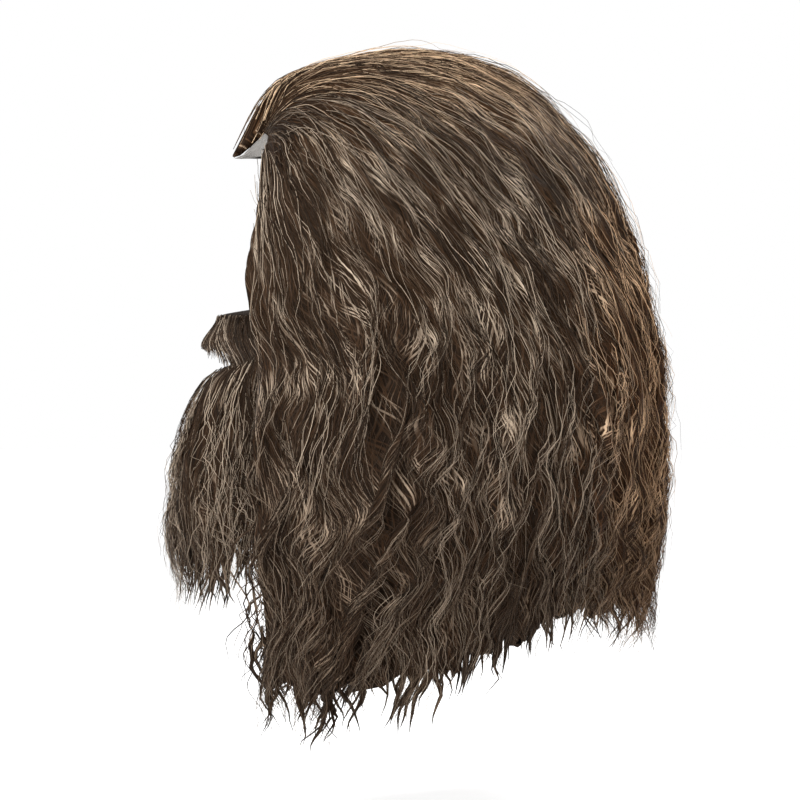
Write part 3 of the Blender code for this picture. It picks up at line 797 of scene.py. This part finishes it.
def shell_grids(flow, inside, limits, columns, rows, ends, seed, coarse, beard=False):
    """The outer and inner grids of a hair body between two sides, with its map of fibres."""
    fine = np.linspace(limits[0], limits[1], 2001)
    width = flow.at(flow.width, fine, np.full(fine.shape, 1.2 if not beard else 0.5))
    total = np.concatenate(((0,), np.cumsum((width[1:] + width[:-1]) / 2)))
    q = np.interp(np.linspace(0, total[-1], columns + 1), total, fine)
    share = np.linspace(0, 1, rows + 1)[:, None]
    first = (0 * q if beard else front_cut(q))[None, :]
    along = first + share * (ends(q)[None, :] - first)
    q = np.broadcast_to(q[None, :], along.shape)
    length = flow.at(flow.length, q, along)
    wide = np.maximum(flow.at(flow.width, q, along), 0.02)
    base = flow.at(flow.point, q, along)
    lock = q if beard else drifted(q, length)
    aside, outward = waves(lock, length, base, seed, beard=beard)
    aside = aside * step((1 - np.abs(q)) / 0.06)
    moved = np.clip(q + aside / wide, flow.side[0], flow.side[-1])
    outer = flow.at(flow.point, moved, along)
    out = flow.at(flow.out, moved, along)
    inner = inside(moved, along)
    if not beard:
        raised = 0.5 * (1 - step((np.abs(q) - 0.05) / 0.06)) * (1 - step(along / 0.16))
        inner = inner + (outer - inner) * raised[..., None]
    thick = np.linalg.norm(outer - inner, axis=-1)
    lift = np.maximum(locks_relief(lock, length, wide, seed) + outward - 0.0012, -0.55 * thick)
    outer = outer + out * lift[..., None]
    tip = step((1 - share) / 0.16)[..., None] * 0.94 + 0.06
    middle = (outer + inner) / 2
    outer, inner = middle + (outer - middle) * tip, middle + (inner - middle) * tip
    whole = np.linspace(-1, 1, 2001)
    spread = np.cumsum(flow.at(flow.width, whole, np.full(whole.shape, 0.5 if beard else 1.5))) * 0.001
    across = np.interp(q, whole, spread) + (0 if beard else SWEEP * (length - DRIFT_START) * sweep(q))
    return outer, inner[:: coarse[0], :: coarse[1]], across, length


FLOWS = {}


def flows():
    """The surfaces that the wig's hair and the beard's lie on, made once."""
    if not FLOWS:
        FLOWS["wig"] = Flow(wig_surface, (-1, 1), (0, 2.2), (0, -HEAD_FORWARD, -0.12))
        FLOWS["beard"] = Flow(
            lambda s, a: beard_surface(s, np.minimum(a, 1), True)
            + np.array((0, 0, -0.18)) * np.maximum(a - 1, 0)[..., None],
            (-1, 1),
            (0, 1.2),
            (0, 0, -0.22),
            161,
            161,
        )
    return FLOWS


def tapered_ends(base, swing, counts, seed):
    """Where each column of hair ends, in pointed locks of several widths."""
    def ends(q):
        found = np.full(q.shape, base)
        for i, count in enumerate(counts):
            x = q * count / 2 + 40
            own = np.floor(x)
            pick = smooth_noise(own * 1.7 + 9, own * 0.9 + 4 * i, seed + i)
            point = 1 - (2 * (x - own) - 1) ** 2
            found = found + swing / (i + 1) * (0.7 * pick + 0.8 * point - 0.6)
        return found
    return ends


class WigSettings(bpy.types.PropertyGroup):
    strand_count: bpy.props.IntProperty(
        name="Strands", description="Strands that lie on the wig's locks", default=3600
    )
    crown_count: bpy.props.IntProperty(
        name="Crown Strands", description="Straighter strands at the top", default=1000
    )
    stray_count: bpy.props.IntProperty(
        name="Stray Hairs", description="Loose hairs off the outline", default=420
    )
    wisp_count: bpy.props.IntProperty(
        name="Wisps", description="Strands of the tufts at the hem", default=620
    )
    strand_radius: bpy.props.FloatProperty(
        name="Strand Radius", description="Radius of a strand", default=0.0002, unit="LENGTH"
    )
    hair_dark: bpy.props.FloatVectorProperty(
        name="Hair Dark", description="Deepest hair colour", subtype="COLOR", default=(0.0078, 0.0036, 0.0016)
    )
    hair_middle: bpy.props.FloatVectorProperty(
        name="Hair Middle", description="Main hair colour", subtype="COLOR", default=(0.059, 0.0315, 0.0165)
    )
    hair_light: bpy.props.FloatVectorProperty(
        name="Hair Light", description="Lightest hair colour", subtype="COLOR", default=(0.585, 0.470, 0.355)
    )


def settings():
    return bpy.context.scene.wig_settings


def tuft_of(q, count):
    """The middle of the tuft that a strand belongs to, and a number of the tuft's own from 0 to 1."""
    own = np.floor(q * count / 2 + 0.3 * np.sin(q * 37))
    return (own + 0.5) * 2 / count, np.modf(np.abs(np.sin(own * 12.9898) * 43758.5453))[0]


def wig_starts(flow, count, rng, along_range, longest, shortest):
    """Where strands start and how long they are, the hem's in tufts of several lengths."""
    q, along = flow.scattered(count, rng, along_range)
    start = flow.at(flow.length, q, np.maximum(along, front_cut(q)))
    tuft = tuft_of(q, TUFTS)[1]
    hem_at = flow.down_to(q, 2.0) - 0.046 * tuft**1.4 + 0.010
    hem_at = hem_at + rng.uniform(-0.012, 0.008, count)
    length = rng.uniform(shortest, longest, count)
    start = np.minimum(start, hem_at - 0.055)
    return q, start, np.minimum(length, hem_at - start)


def swirl(rng, count, rings, scale):
    """A slow random wander for each strand, growing from its root."""
    place = np.linspace(0, 1, rings)[None, :]
    rows, columns = rng.uniform(0, 60, (2, count, 1))
    return smooth_noise(rows + 0 * place, columns + place * scale, 91) * place


class WIG_OT_hair_body(bpy.types.Operator):
    """Builds the wig's dense hair, grooved into locks, in place of the plain solids"""

    bl_idname = "wig.hair_body"
    bl_label = "Hair Body"

    def execute(self, context):
        flow = flows()["wig"]
        ends = tapered_ends(1.90, 0.045, (30, 84, 210), 301)
        for name, limits, columns, nodes in (
            ("hair_body_back", (-PEAK_SIDE, PEAK_SIDE), 336, ("front_peak", "back_hair")),
            ("hair_body_left", (PEAK_SIDE - 0.01, 1), 160, ("left_hair",)),
            ("hair_body_right", (-1, 0.01 - PEAK_SIDE), 160, ("right_hair",)),
        ):
            grids = shell_grids(flow, wig_inside, limits, columns, 104, ends, HAIR_SEED, (8, 8))
            made = shell(name, *grids, fibre_look())
            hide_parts(*nodes)
        return {"FINISHED"}


def lock_tubes(name, paths, q, start, radii, flatness, sides):
    """Flat tapered locks, each with a place of its own on the map."""
    card = np.stack((q * 0.36, start), -1)
    columns = math.ceil(math.sqrt(len(q)))
    cells = (columns, math.ceil(len(q) / columns))
    return tubes(name, *paths, radii, flatness, sides, card, fibre_look(), cells)


def front_locks(flow, count, rng):
    """Loose wavy locks that hang ahead of the side hair's front edge."""
    q = np.where(np.arange(count) % 2, 1, -1) * rng.uniform(0.93, 0.995, count)
    rings = 30
    end = flow.down_to(q, 2.0) + rng.uniform(-0.055, 0.010, count)
    length = rng.uniform(0.11, 0.17, count)
    start = end - length
    place = np.linspace(0, 1, rings)[None, :]
    rise = -0.0020 + 0.0040 * swirl(rng, count, rings, 2.5) + 0 * place
    reach = rng.uniform(0.002, 0.005, (count, 1))
    bend = reach * np.sin(2 * np.pi * (place * length[:, None] / 0.075) + rng.uniform(0, 6, (count, 1)))
    ahead = rng.uniform(0.000, 0.020, (count, 1)) * step(place * 1.3) + bend * step(place * 3)
    shift, jitter = ahead * np.sign(q)[:, None], rng.normal(0, 0.4, (2, count, 1))
    paths = hair_paths(flow, q, start, length, rings, rise, HAIR_SEED, shift, jitter)
    taper = np.clip(1 - place, 0.04, 1) ** 0.7 * np.clip(4 * place + 0.3, 0, 1)
    return lock_tubes("front_locks", paths, q, start, rng.uniform(0.0005, 0.0015, (count, 1)) * taper, 0.6, 5)


def hem_locks(name, flow, count, hem_at, rng, seed, beard=False):
    """Flat tapered locks that carry the dense hair on to its ragged hem."""
    q = np.clip((np.arange(count) + rng.uniform(0.1, 0.9, count)) * 2 / count - 1, -0.995, 0.995)
    rings = 13
    end = hem_at(q)
    length = rng.uniform(0.055, 0.080, count)
    start = end - length
    place = np.linspace(0, 1, rings)[None, :]
    rise = -0.0030 - rng.uniform(0.0, 0.0100, (count, 1)) + 0.0030 * place
    wander = 0.006 * swirl(rng, count, rings, 2.5)
    shift = wander + rng.normal(0, 0.05, (count, 1)) * length[:, None] * (place - 0.3)
    jitter = rng.normal(0, 0.5, (2, count, 1))
    paths = hair_paths(flow, q, start, length, rings, rise, seed, shift, jitter, beard)
    taper = np.clip(1 - place, 0.02, 1) ** 0.8 * np.clip(4 * place + 0.3, 0, 1)
    return lock_tubes(name, paths, q, start, rng.uniform(0.0022, 0.0042, (count, 1)) * taper, 0.5, 6)


def loose_strands(name, flow, starts, rings, off, wander, loose, rng, tuft=0.0, beard=False):
    """Strands along the locks.

    off and wander are how far they lift and stray, loose how unlike their waves are, and tuft how
    closely their ends gather.
    """
    q, start, length = starts
    count = len(q)
    place = np.linspace(0, 1, rings)[None, :]
    rise = 0.0003 + off * rng.random((count, 1)) * np.sin(np.pi * (0.1 + 0.75 * place))
    rise = rise + wander * 0.6 * np.abs(swirl(rng, count, rings, 2.5))
    jitter = rng.normal(0, loose, (2, count, 1))
    lean = rng.normal(0, 0.14 if beard else 0.11, (count, 1)) * length[:, None] * (place - 0.5)
    if not beard:
        lean = lean - SWEEP * sweep(q)[:, None] * length[:, None] * place
    gather = tuft * (tuft_of(q, TUFTS)[0] - q)[:, None] * 0.36 * place**2
    shift = wander * swirl(rng, count, rings, 3.5) + lean * (1 - 0.7 * tuft * place) + gather
    seed = BEARD_SEED if beard else HAIR_SEED
    points, outs = hair_paths(flow, q, start, length, rings, rise, seed, shift, jitter, beard)
    radii = settings().strand_radius * rng.uniform(0.7, 1.35, (count, 1)) * np.clip(1.2 - place, 0.3, 1)
    card = strand_card(points, rng, lift=0.10 if beard else 0.0)
    return tubes(name, points, outs, radii, 1.0, 3, card, strand_look())


class WIG_OT_hair_strands(bpy.types.Operator):
    """Adds strands along the locks, straighter ones at the crown, and stray hairs off the outline"""

    bl_idname = "wig.hair_strands"
    bl_label = "Hair Strands"

    def execute(self, context):
        s = settings()
        flow = flows()["wig"]
        ragged = np.random.default_rng(189)

        def hem_at(q):
            tuft = tuft_of(q, TUFTS)[1]
            return flow.down_to(q, 2.0) + 0.006 - 0.024 * tuft**1.4 - ragged.uniform(0, 0.012, len(q))

        locks = hem_locks("hem_locks", flow, 320, hem_at, np.random.default_rng(190), HAIR_SEED)
        front_locks(flow, 38, np.random.default_rng(192))
        half = s.strand_count // 2
        for i, (name, count, rings, span, long, short, off, wander, loose, tuft) in enumerate((
            ("hair_strands_upper", half, 18, (0.26, 1.70), 0.14, 0.07, 0.0018, 0.0035, 0.5, 0.3),
            ("hair_strands_lower", half, 18, (1.00, 1.97), 0.13, 0.06, 0.0022, 0.0030, 0.5, 0.8),
            ("crown_strands", s.crown_count, 13, (0.0, 0.55), 0.14, 0.08, 0.0012, 0.0018, 0.4, 0.0),
            ("hem_wisps", s.wisp_count, 18, (1.55, 1.99), 0.13, 0.09, 0.0010, 0.0060, 1.0, 0.9),
            ("stray_hairs", s.stray_count, 17, (0.12, 1.95), 0.16, 0.07, 0.0060, 0.0150, 1.3, 0.0),
        )):
            rng = np.random.default_rng(200 + i)
            starts = wig_starts(flow, count, rng, span, long, short)
            loose_strands(name, flow, starts, rings, off, wander, loose, rng, tuft)
        return {"FINISHED"}


def beard_inside(side, along):
    return beard_surface(side, along, False)


class WIG_OT_beard(bpy.types.Operator):
    """Builds the beard's dense hair and its strands"""

    bl_idname = "wig.beard"
    bl_label = "Beard"

    def execute(self, context):
        flow = flows()["beard"]
        ends = tapered_ends(0.93, 0.055, (14, 44), 401)
        grids = shell_grids(flow, beard_inside, (-1, 1), 208, 56, ends, BEARD_SEED, (8, 8), True)
        body = shell("beard_body", *grids, fibre_look())
        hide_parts("beard_hair")

        def hem_at(q):
            return flow.down_to(q, 1.0) + 0.014 + 0.020 * step(np.abs(q) / 0.6) - 0.030 * tuft_of(q, 60)[1]

        locks = hem_locks("beard_locks", flow, 130, hem_at, np.random.default_rng(191), BEARD_SEED, True)
        for i, (name, count, rings, span, off, wander, loose) in enumerate((
            ("beard_strands", 1180, 14, (0.0, 0.88), 0.0030, 0.0055, 0.8),
            ("beard_strays", 240, 17, (0.1, 0.95), 0.0060, 0.0130, 1.6),
        )):
            rng = np.random.default_rng(500 + i)
            q, at = flow.scattered(count, rng, span)
            end = flow.down_to(q, 1.0) + rng.uniform(-0.020, 0.022, count) + 0.018 * step(np.abs(q) / 0.6)
            start = np.minimum(flow.at(flow.length, q, at), end - 0.04)
            length = np.minimum(rng.uniform(0.05, 0.11, count), end - start)
            made = loose_strands(name, flow, (q, start, length), rings, off, wander, loose, rng, beard=True)
        return {"FINISHED"}


def moustache_point(azimuth, share, lift, droop=0.004):
    """A place on the moustache: share runs from the lip line down past the mouth's edge."""
    across = np.cos(np.radians(90 * azimuth / MOUSTACHE_EDGE))
    level = 0.03 + (0.28 - 0.03) * share
    point = face_point(azimuth, np.clip(level, 0, 1), BASE_FACE + lift)
    point[..., 2] = -LIP_DROP - 0.0010 - 0.0205 * share - droop * (1 - across) * share
    return point


def moustache_swell(azimuth, share):
    """How far the moustache stands off the lip: its middle juts out and is cut off blunt."""
    across = np.cos(np.radians(90 * azimuth / MOUSTACHE_EDGE))
    juts = 0.0020 + 0.0100 * step(share * 1.05)
    lies = 0.0022 + 0.0050 * np.sin(np.pi * np.clip(share * 0.9, 0, 1))
    notch = 0.0022 * np.exp(-((azimuth / 3.0) ** 2)) * share
    blend = step((across - 0.55) / 0.35)
    return lies * (1 - blend) + juts * blend - notch


class WIG_OT_moustache(bpy.types.Operator):
    """Builds the moustache of short blunt hairs, longer at its ends"""

    bl_idname = "wig.moustache"
    bl_label = "Moustache"

    def execute(self, context):
        s = settings()
        edge = MOUSTACHE_EDGE - 2
        columns, rows = 176, 16
        azimuth, share = np.meshgrid(np.linspace(-edge, edge, columns + 1), np.linspace(0, 1, rows + 1))
        grooves = smooth_noise(azimuth * 1.3 + 60, share * 2 + 3, 611)
        grooves = grooves + 0.6 * smooth_noise(azimuth * 3.1 + 200, share * 2, 612)
        swell = moustache_swell(azimuth, share) + 0.0006 * grooves - 0.0012
        ragged = share * (0.93 + 0.04 * smooth_noise(azimuth * 1.1 + 70, 0 * azimuth, 613))
        outer = moustache_point(azimuth, ragged, swell)
        inner = moustache_point(azimuth, ragged, 0.0002 + 0.0040 * share**2)
        fibres = (azimuth * 0.0018, share * 0.02 + 0.2)
        body = shell("moustache_body", outer, inner[::8, ::8], *fibres, fibre_look())
        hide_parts("moustache")
        rng = np.random.default_rng(621)
        count, rings = 1000, 7
        first = rng.uniform(-edge, edge, (count, 1))
        side = step((np.abs(first) / edge - 0.22) / 0.5)
        place = np.linspace(0, 1, rings)[None, :]
        begin = rng.uniform(-0.05, 0.5, (count, 1)) * (1 - 0.3 * side)
        last = rng.uniform(0.88, 1.04, (count, 1)) + side * rng.uniform(0.0, 0.95, (count, 1))
        share = begin + (last - begin) * place
        comb = np.sign(first) * (1.5 + 5 * side) * np.minimum(share, 1.4)
        azimuth = first + comb + rng.normal(0, 2.4, (count, 1)) * share
        lift = moustache_swell(azimuth, np.minimum(share, 1.1)) + rng.uniform(-0.0010, 0.0012, (count, 1))
        points = moustache_point(azimuth, share, np.maximum(lift, 0.0010), 0.010)
        middle = points * np.array((0, 0, 1)) + np.array((0, -EAR_BACK, 0))
        radii = s.strand_radius * rng.uniform(0.8, 1.3, (count, 1)) * np.clip(1.25 - 0.5 * place, 0.3, 1)
        card = strand_card(points, rng, 0.2, 0.78)
        made = tubes("moustache_strands", points, unit(points - middle), radii, 1.0, 3, card, strand_look())
        return {"FINISHED"}


def fine_grid(name, columns, rows, place, wall, material):
    """A cloth wall modelled from a grid primitive whose points are laid out by place(u, v)."""
    bpy.ops.object.select_all(action="DESELECT")
    bpy.ops.mesh.primitive_grid_add(x_subdivisions=columns, y_subdivisions=rows, size=2, calc_uvs=True)
    made = bpy.context.object
    made.name = name
    made.data.name = name
    flat = np.empty(len(made.data.vertices) * 3)
    made.data.vertices.foreach_get("co", flat)
    flat = flat.reshape(-1, 3)
    points = place((flat[:, 0] + 1) / 2, (flat[:, 1] + 1) / 2)
    made.data.vertices.foreach_set("co", points.ravel())
    made.data.uv_layers[0].name = "OFBake"
    made.data.update()
    middle = made.data.polygons[len(made.data.polygons) // 2]
    if middle.normal.dot(middle.center - mathutils.Vector((0, -HEAD_FORWARD, -HEAD[2]))) < 0:
        made.data.flip_normals()
    bpy.ops.object.modifier_add(type="SOLIDIFY")
    thick = made.modifiers[-1]
    thick.thickness = wall
    thick.offset = 1
    thick.use_even_offset = True
    bpy.ops.object.modifier_apply(modifier=thick.name)
    bpy.ops.object.shade_smooth_by_angle(angle=math.radians(50))
    made.data.materials.append(material)
    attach(made, "root")
    return made


def net_look(name, thread, hole, across, along, knots=False):
    """Cloth of fine threads over a darker or lighter ground, read from the piece's own map."""
    made, tree, shader = new_material(name, 0.25, 0.9)
    where, u, v = own_map(tree, "OFBake")
    lines = []
    for socket, count in ((u, across), (v, along)):
        turns = math_node(tree, "SINE", math_node(tree, "MULTIPLY", socket, 2 * math.pi * count))
        lines.append(remap(tree, turns, 0.1, 0.9))
    if knots:
        weave = math_node(tree, "MAXIMUM", *lines)
    else:
        weave = math_node(tree, "MULTIPLY_ADD", lines[0], 0.7, lines[1])
    cloud = node(tree, "ShaderNodeTexNoise")
    cloud.inputs["Scale"].default_value = 40
    tree.links.new(where, cloud.inputs["Vector"])
    worn = remap(tree, cloud.outputs["Fac"], 0.3, 0.7, 0.82, 1.12)
    shade = mix_colour(tree, weave, hole, thread)
    grey = node(tree, "ShaderNodeCombineXYZ")
    for i in range(3):
        tree.links.new(worn, grey.inputs[i])
    tree.links.new(mix_colour(tree, 1.0, shade, grey.outputs[0], "MULTIPLY"), shader.inputs["Base Color"])
    tree.links.new(remap(tree, weave, 0.0, 1.0, 0.9, 0.65), shader.inputs["Roughness"])
    add_relief(tree, shader, weave, 0.7, 0.0004)
    return made


class WIG_OT_cap(bpy.types.Operator):
    """Builds the stretch cap with its rows of sewn wefts"""

    bl_idname = "wig.cap"
    bl_label = "Wig Cap"

    def execute(self, context):
        def lay(u, v):
            side, along = 2 * u - 1, 1 - v
            weft = np.clip(np.sin(2 * np.pi * along * 16), 0, 1) ** 4
            return cap_point(side, along, 0.00025 - 0.0009 * weft * step(along * 12))

        look = net_look("Cap Net", (0.040, 0.031, 0.025), (0.012, 0.009, 0.008), 150, 120, True)
        made = fine_grid("cap_cloth", 48, 80, lay, 0.0012, look)
        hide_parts("wig_cap")
        return {"FINISHED"}


class WIG_OT_lace(bpy.types.Operator):
    """Builds the pale lace that shows beside the pointed front"""

    bl_idname = "wig.lace"
    bl_label = "Lace Front"

    def execute(self, context):
        def lay(u, v):
            side = 0.66 * (2 * u - 1)
            rise = np.clip((v - 0.3) / 0.7, 0, 1) * 0.13
            point = wig_inside(side, rise) - np.array((0, 0, 0.0006))
            below = np.clip((0.3 - v) / 0.3, 0, 1)
            point[:, 1] += 0.008 * below * peak_share(side, 0 * side) + 0.0004
            inward = 1 - step((np.abs(side) - 0.45) / 0.2)
            point[:, 2] -= below * np.clip(point[:, 2] + 0.0560, 0, 0.012) * inward
            point[:, 1] = np.maximum(point[:, 1], -0.1060)
            point[:, 2] = np.maximum(point[:, 2], -0.0565 + 0.0006 * (1 - v))
            return point

        look = net_look("Pale Lace", (0.40, 0.39, 0.375), (0.17, 0.15, 0.135), 90, 34, True)
        made = fine_grid("lace_cloth", 60, 20, lay, 0.0005, look)
        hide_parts("lace_front")
        return {"FINISHED"}


class WIG_OT_beard_base(bpy.types.Operator):
    """Builds the net that carries the beard, with its open slot at the mouth"""

    bl_idname = "wig.beard_base"
    bl_label = "Beard Base"

    def execute(self, context):
        def lay(u, v):
            level = np.interp(1 - v, np.linspace(0, 1, 7), (0.0, 0.14, 0.28, 0.50, 0.66, 0.83, 1.0))
            return face_point(BEARD_EDGE * (2 * u - 1), level, 0.0)

        look = net_look("Beard Net", (0.050, 0.037, 0.029), (0.016, 0.012, 0.010), 130, 60, True)
        made = fine_grid("beard_net", 72, 30, lay, 0.0012, look)
        self.open_mouth(made)
        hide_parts("beard_base")
        return {"FINISHED"}

    def open_mouth(self, made):
        """Cuts the slot through the wall and closes its rim."""
        bpy.ops.object.select_all(action="DESELECT")
        bpy.context.view_layer.objects.active = made
        made.select_set(True)
        bpy.ops.object.mode_set(mode="EDIT")
        bpy.ops.mesh.select_all(action="DESELECT")
        bpy.ops.object.mode_set(mode="OBJECT")
        for face in made.data.polygons:
            x, y, z = face.center
            face.select = abs(x) < 0.0225 and y < -0.06 and -0.1945 < z < -0.1805
        bpy.ops.object.mode_set(mode="EDIT")
        bpy.ops.mesh.select_mode(type="FACE")
        bpy.ops.mesh.delete(type="FACE")
        bpy.ops.mesh.select_mode(type="EDGE")
        bpy.ops.mesh.select_non_manifold()
        bpy.ops.mesh.bridge_edge_loops()
        bpy.ops.object.mode_set(mode="OBJECT")


STRAP_PATH = ((0.0, 0.5, 0.78, 0.92, 1.0), (180, 122, 90, 73, 68.5), (0.952, 0.823, 0.769, 0.993, 1.068))


class WIG_OT_strap(bpy.types.Operator):
    """Builds the woven elastic that holds the beard"""

    bl_idname = "wig.strap"
    bl_label = "Beard Strap"

    def execute(self, context):
        def lay(u, v):
            turn = 2 * u - 1
            azimuth = curve(STRAP_PATH[0], STRAP_PATH[1], np.abs(turn))
            drop = curve(STRAP_PATH[0], STRAP_PATH[2], np.abs(turn)) * CHEEK_DROP
            below = drop - (0.5 - v) * 0.016 - HEAD[2]
            height = np.degrees(np.arcsin(-below / HEAD[2]))
            point = toward(azimuth, height) * (HEAD / (2, 2, 1) - 0.0031) - np.array((0, HEAD_FORWARD, HEAD[2]))
            point[:, 0] *= np.where(turn >= 0, 1, -1)
            return point

        look = net_look("Woven Elastic", (0.075, 0.058, 0.047), (0.030, 0.023, 0.018), 260, 8)
        made = fine_grid("elastic_strap", 120, 8, lay, 0.001, look)
        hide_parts("beard_strap")
        return {"FINISHED"}


class WIG_OT_stage(bpy.types.Operator):
    """Sets the floor, the soft lights and the camera"""

    bl_idname = "wig.stage"
    bl_label = "Studio"

    def execute(self, context):
        bpy.ops.object.select_all(action="DESELECT")
        bpy.ops.mesh.primitive_plane_add(size=30, location=(0, 0, -0.475))
        floor = context.object
        floor.name = "studio_floor"
        bpy.ops.object.transform_apply(location=True, rotation=True, scale=True)
        floor.data.materials.append(self.floor_paint())
        context.scene.world = self.white_room()
        context.scene.view_settings.view_transform = "Standard"
        for name, place, power, size in (
            ("Key Light", (1.5, -1.1, 1.5), 56, 0.8),
            ("Fill Light", (2.0, 1.0, 0.0), 8, 1.4),
            ("Back Light", (-0.6, 1.2, 1.6), 26, 1.0),
        ):
            data = bpy.data.lights.new(name, "AREA")
            data.energy = power
            data.size = size
            lamp = bpy.data.objects.new(name, data)
            lamp.location = place
            aim = np.array((0, 0, -0.2)) - np.array(place)
            turn = math.atan2(aim[1], aim[0]) - math.pi / 2
            lamp.rotation_euler = (math.atan2(math.hypot(aim[0], aim[1]), -aim[2]), 0, turn)
            context.scene.collection.objects.link(lamp)
        camera = bpy.data.cameras.new("Camera")
        camera.lens = 150
        camera.sensor_width = 36
        held = bpy.data.objects.new("Camera", camera)
        held.location = (2.2, 0, -0.216)
        held.rotation_euler = (math.radians(90), 0, math.radians(90))
        context.scene.collection.objects.link(held)
        context.scene.camera = held
        return {"FINISHED"}

    def floor_paint(self):
        """A pale paint that the lights bring up to white."""
        look, _, shader = new_material("Pale Floor", 0.0, 1.0)
        shader.inputs["Base Color"].default_value = (0.90, 0.90, 0.90, 1)
        shader.inputs["Emission Color"].default_value = (1, 1, 1, 1)
        shader.inputs["Emission Strength"].default_value = 0.80
        return look

    def white_room(self):
        """A white surrounding that lights the hair less than it shows, so the locks keep their shade."""
        world = bpy.data.worlds.new("Studio White")
        world.use_nodes = True
        tree = world.node_tree
        shown = tree.nodes["Background"]
        shown.inputs[0].default_value = (1, 1, 1, 1)
        soft = node(tree, "ShaderNodeBackground", in_0=(1, 1, 1, 1), in_1=0.34)
        path = node(tree, "ShaderNodeLightPath")
        both = node(tree, "ShaderNodeMixShader")
        tree.links.new(path.outputs["Is Camera Ray"], both.inputs[0])
        tree.links.new(soft.outputs[0], both.inputs[1])
        tree.links.new(shown.outputs[0], both.inputs[2])
        tree.links.new(both.outputs[0], tree.nodes["World Output"].inputs[0])
        return world


class WIG_PT_panel(bpy.types.Panel):
    """Lists the steps that build the set"""

    bl_idname = "WIG_PT_panel"
    bl_label = "Wig and Beard"
    bl_space_type = "VIEW_3D"
    bl_region_type = "UI"
    bl_category = "Wig"

    def draw(self, context):
        for name in WigSettings.__annotations__:
            self.layout.prop(context.scene.wig_settings, name)
        for operator in OPERATORS:
            self.layout.operator(operator.bl_idname)


OPERATORS = (
    WIG_OT_stage,
    WIG_OT_hair_body,
    WIG_OT_hair_strands,
    WIG_OT_beard,
    WIG_OT_moustache,
    WIG_OT_cap,
    WIG_OT_lace,
    WIG_OT_beard_base,
    WIG_OT_strap,
)


def register():
    for found in (WigSettings, *OPERATORS, WIG_PT_panel):
        bpy.utils.register_class(found)
    bpy.types.Scene.wig_settings = bpy.props.PointerProperty(type=WigSettings)


def unregister():
    del bpy.types.Scene.wig_settings
    for found in (WIG_PT_panel, *reversed(OPERATORS), WigSettings):
        bpy.utils.unregister_class(found)


def main():
    register()
    bpy.ops.wig.stage()
    bpy.ops.wig.hair_body()
    bpy.ops.wig.hair_strands()
    bpy.ops.wig.beard()
    bpy.ops.wig.moustache()
    bpy.ops.wig.cap()
    bpy.ops.wig.lace()
    bpy.ops.wig.beard_base()
    bpy.ops.wig.strap()


if __name__ == "__main__":
    main()
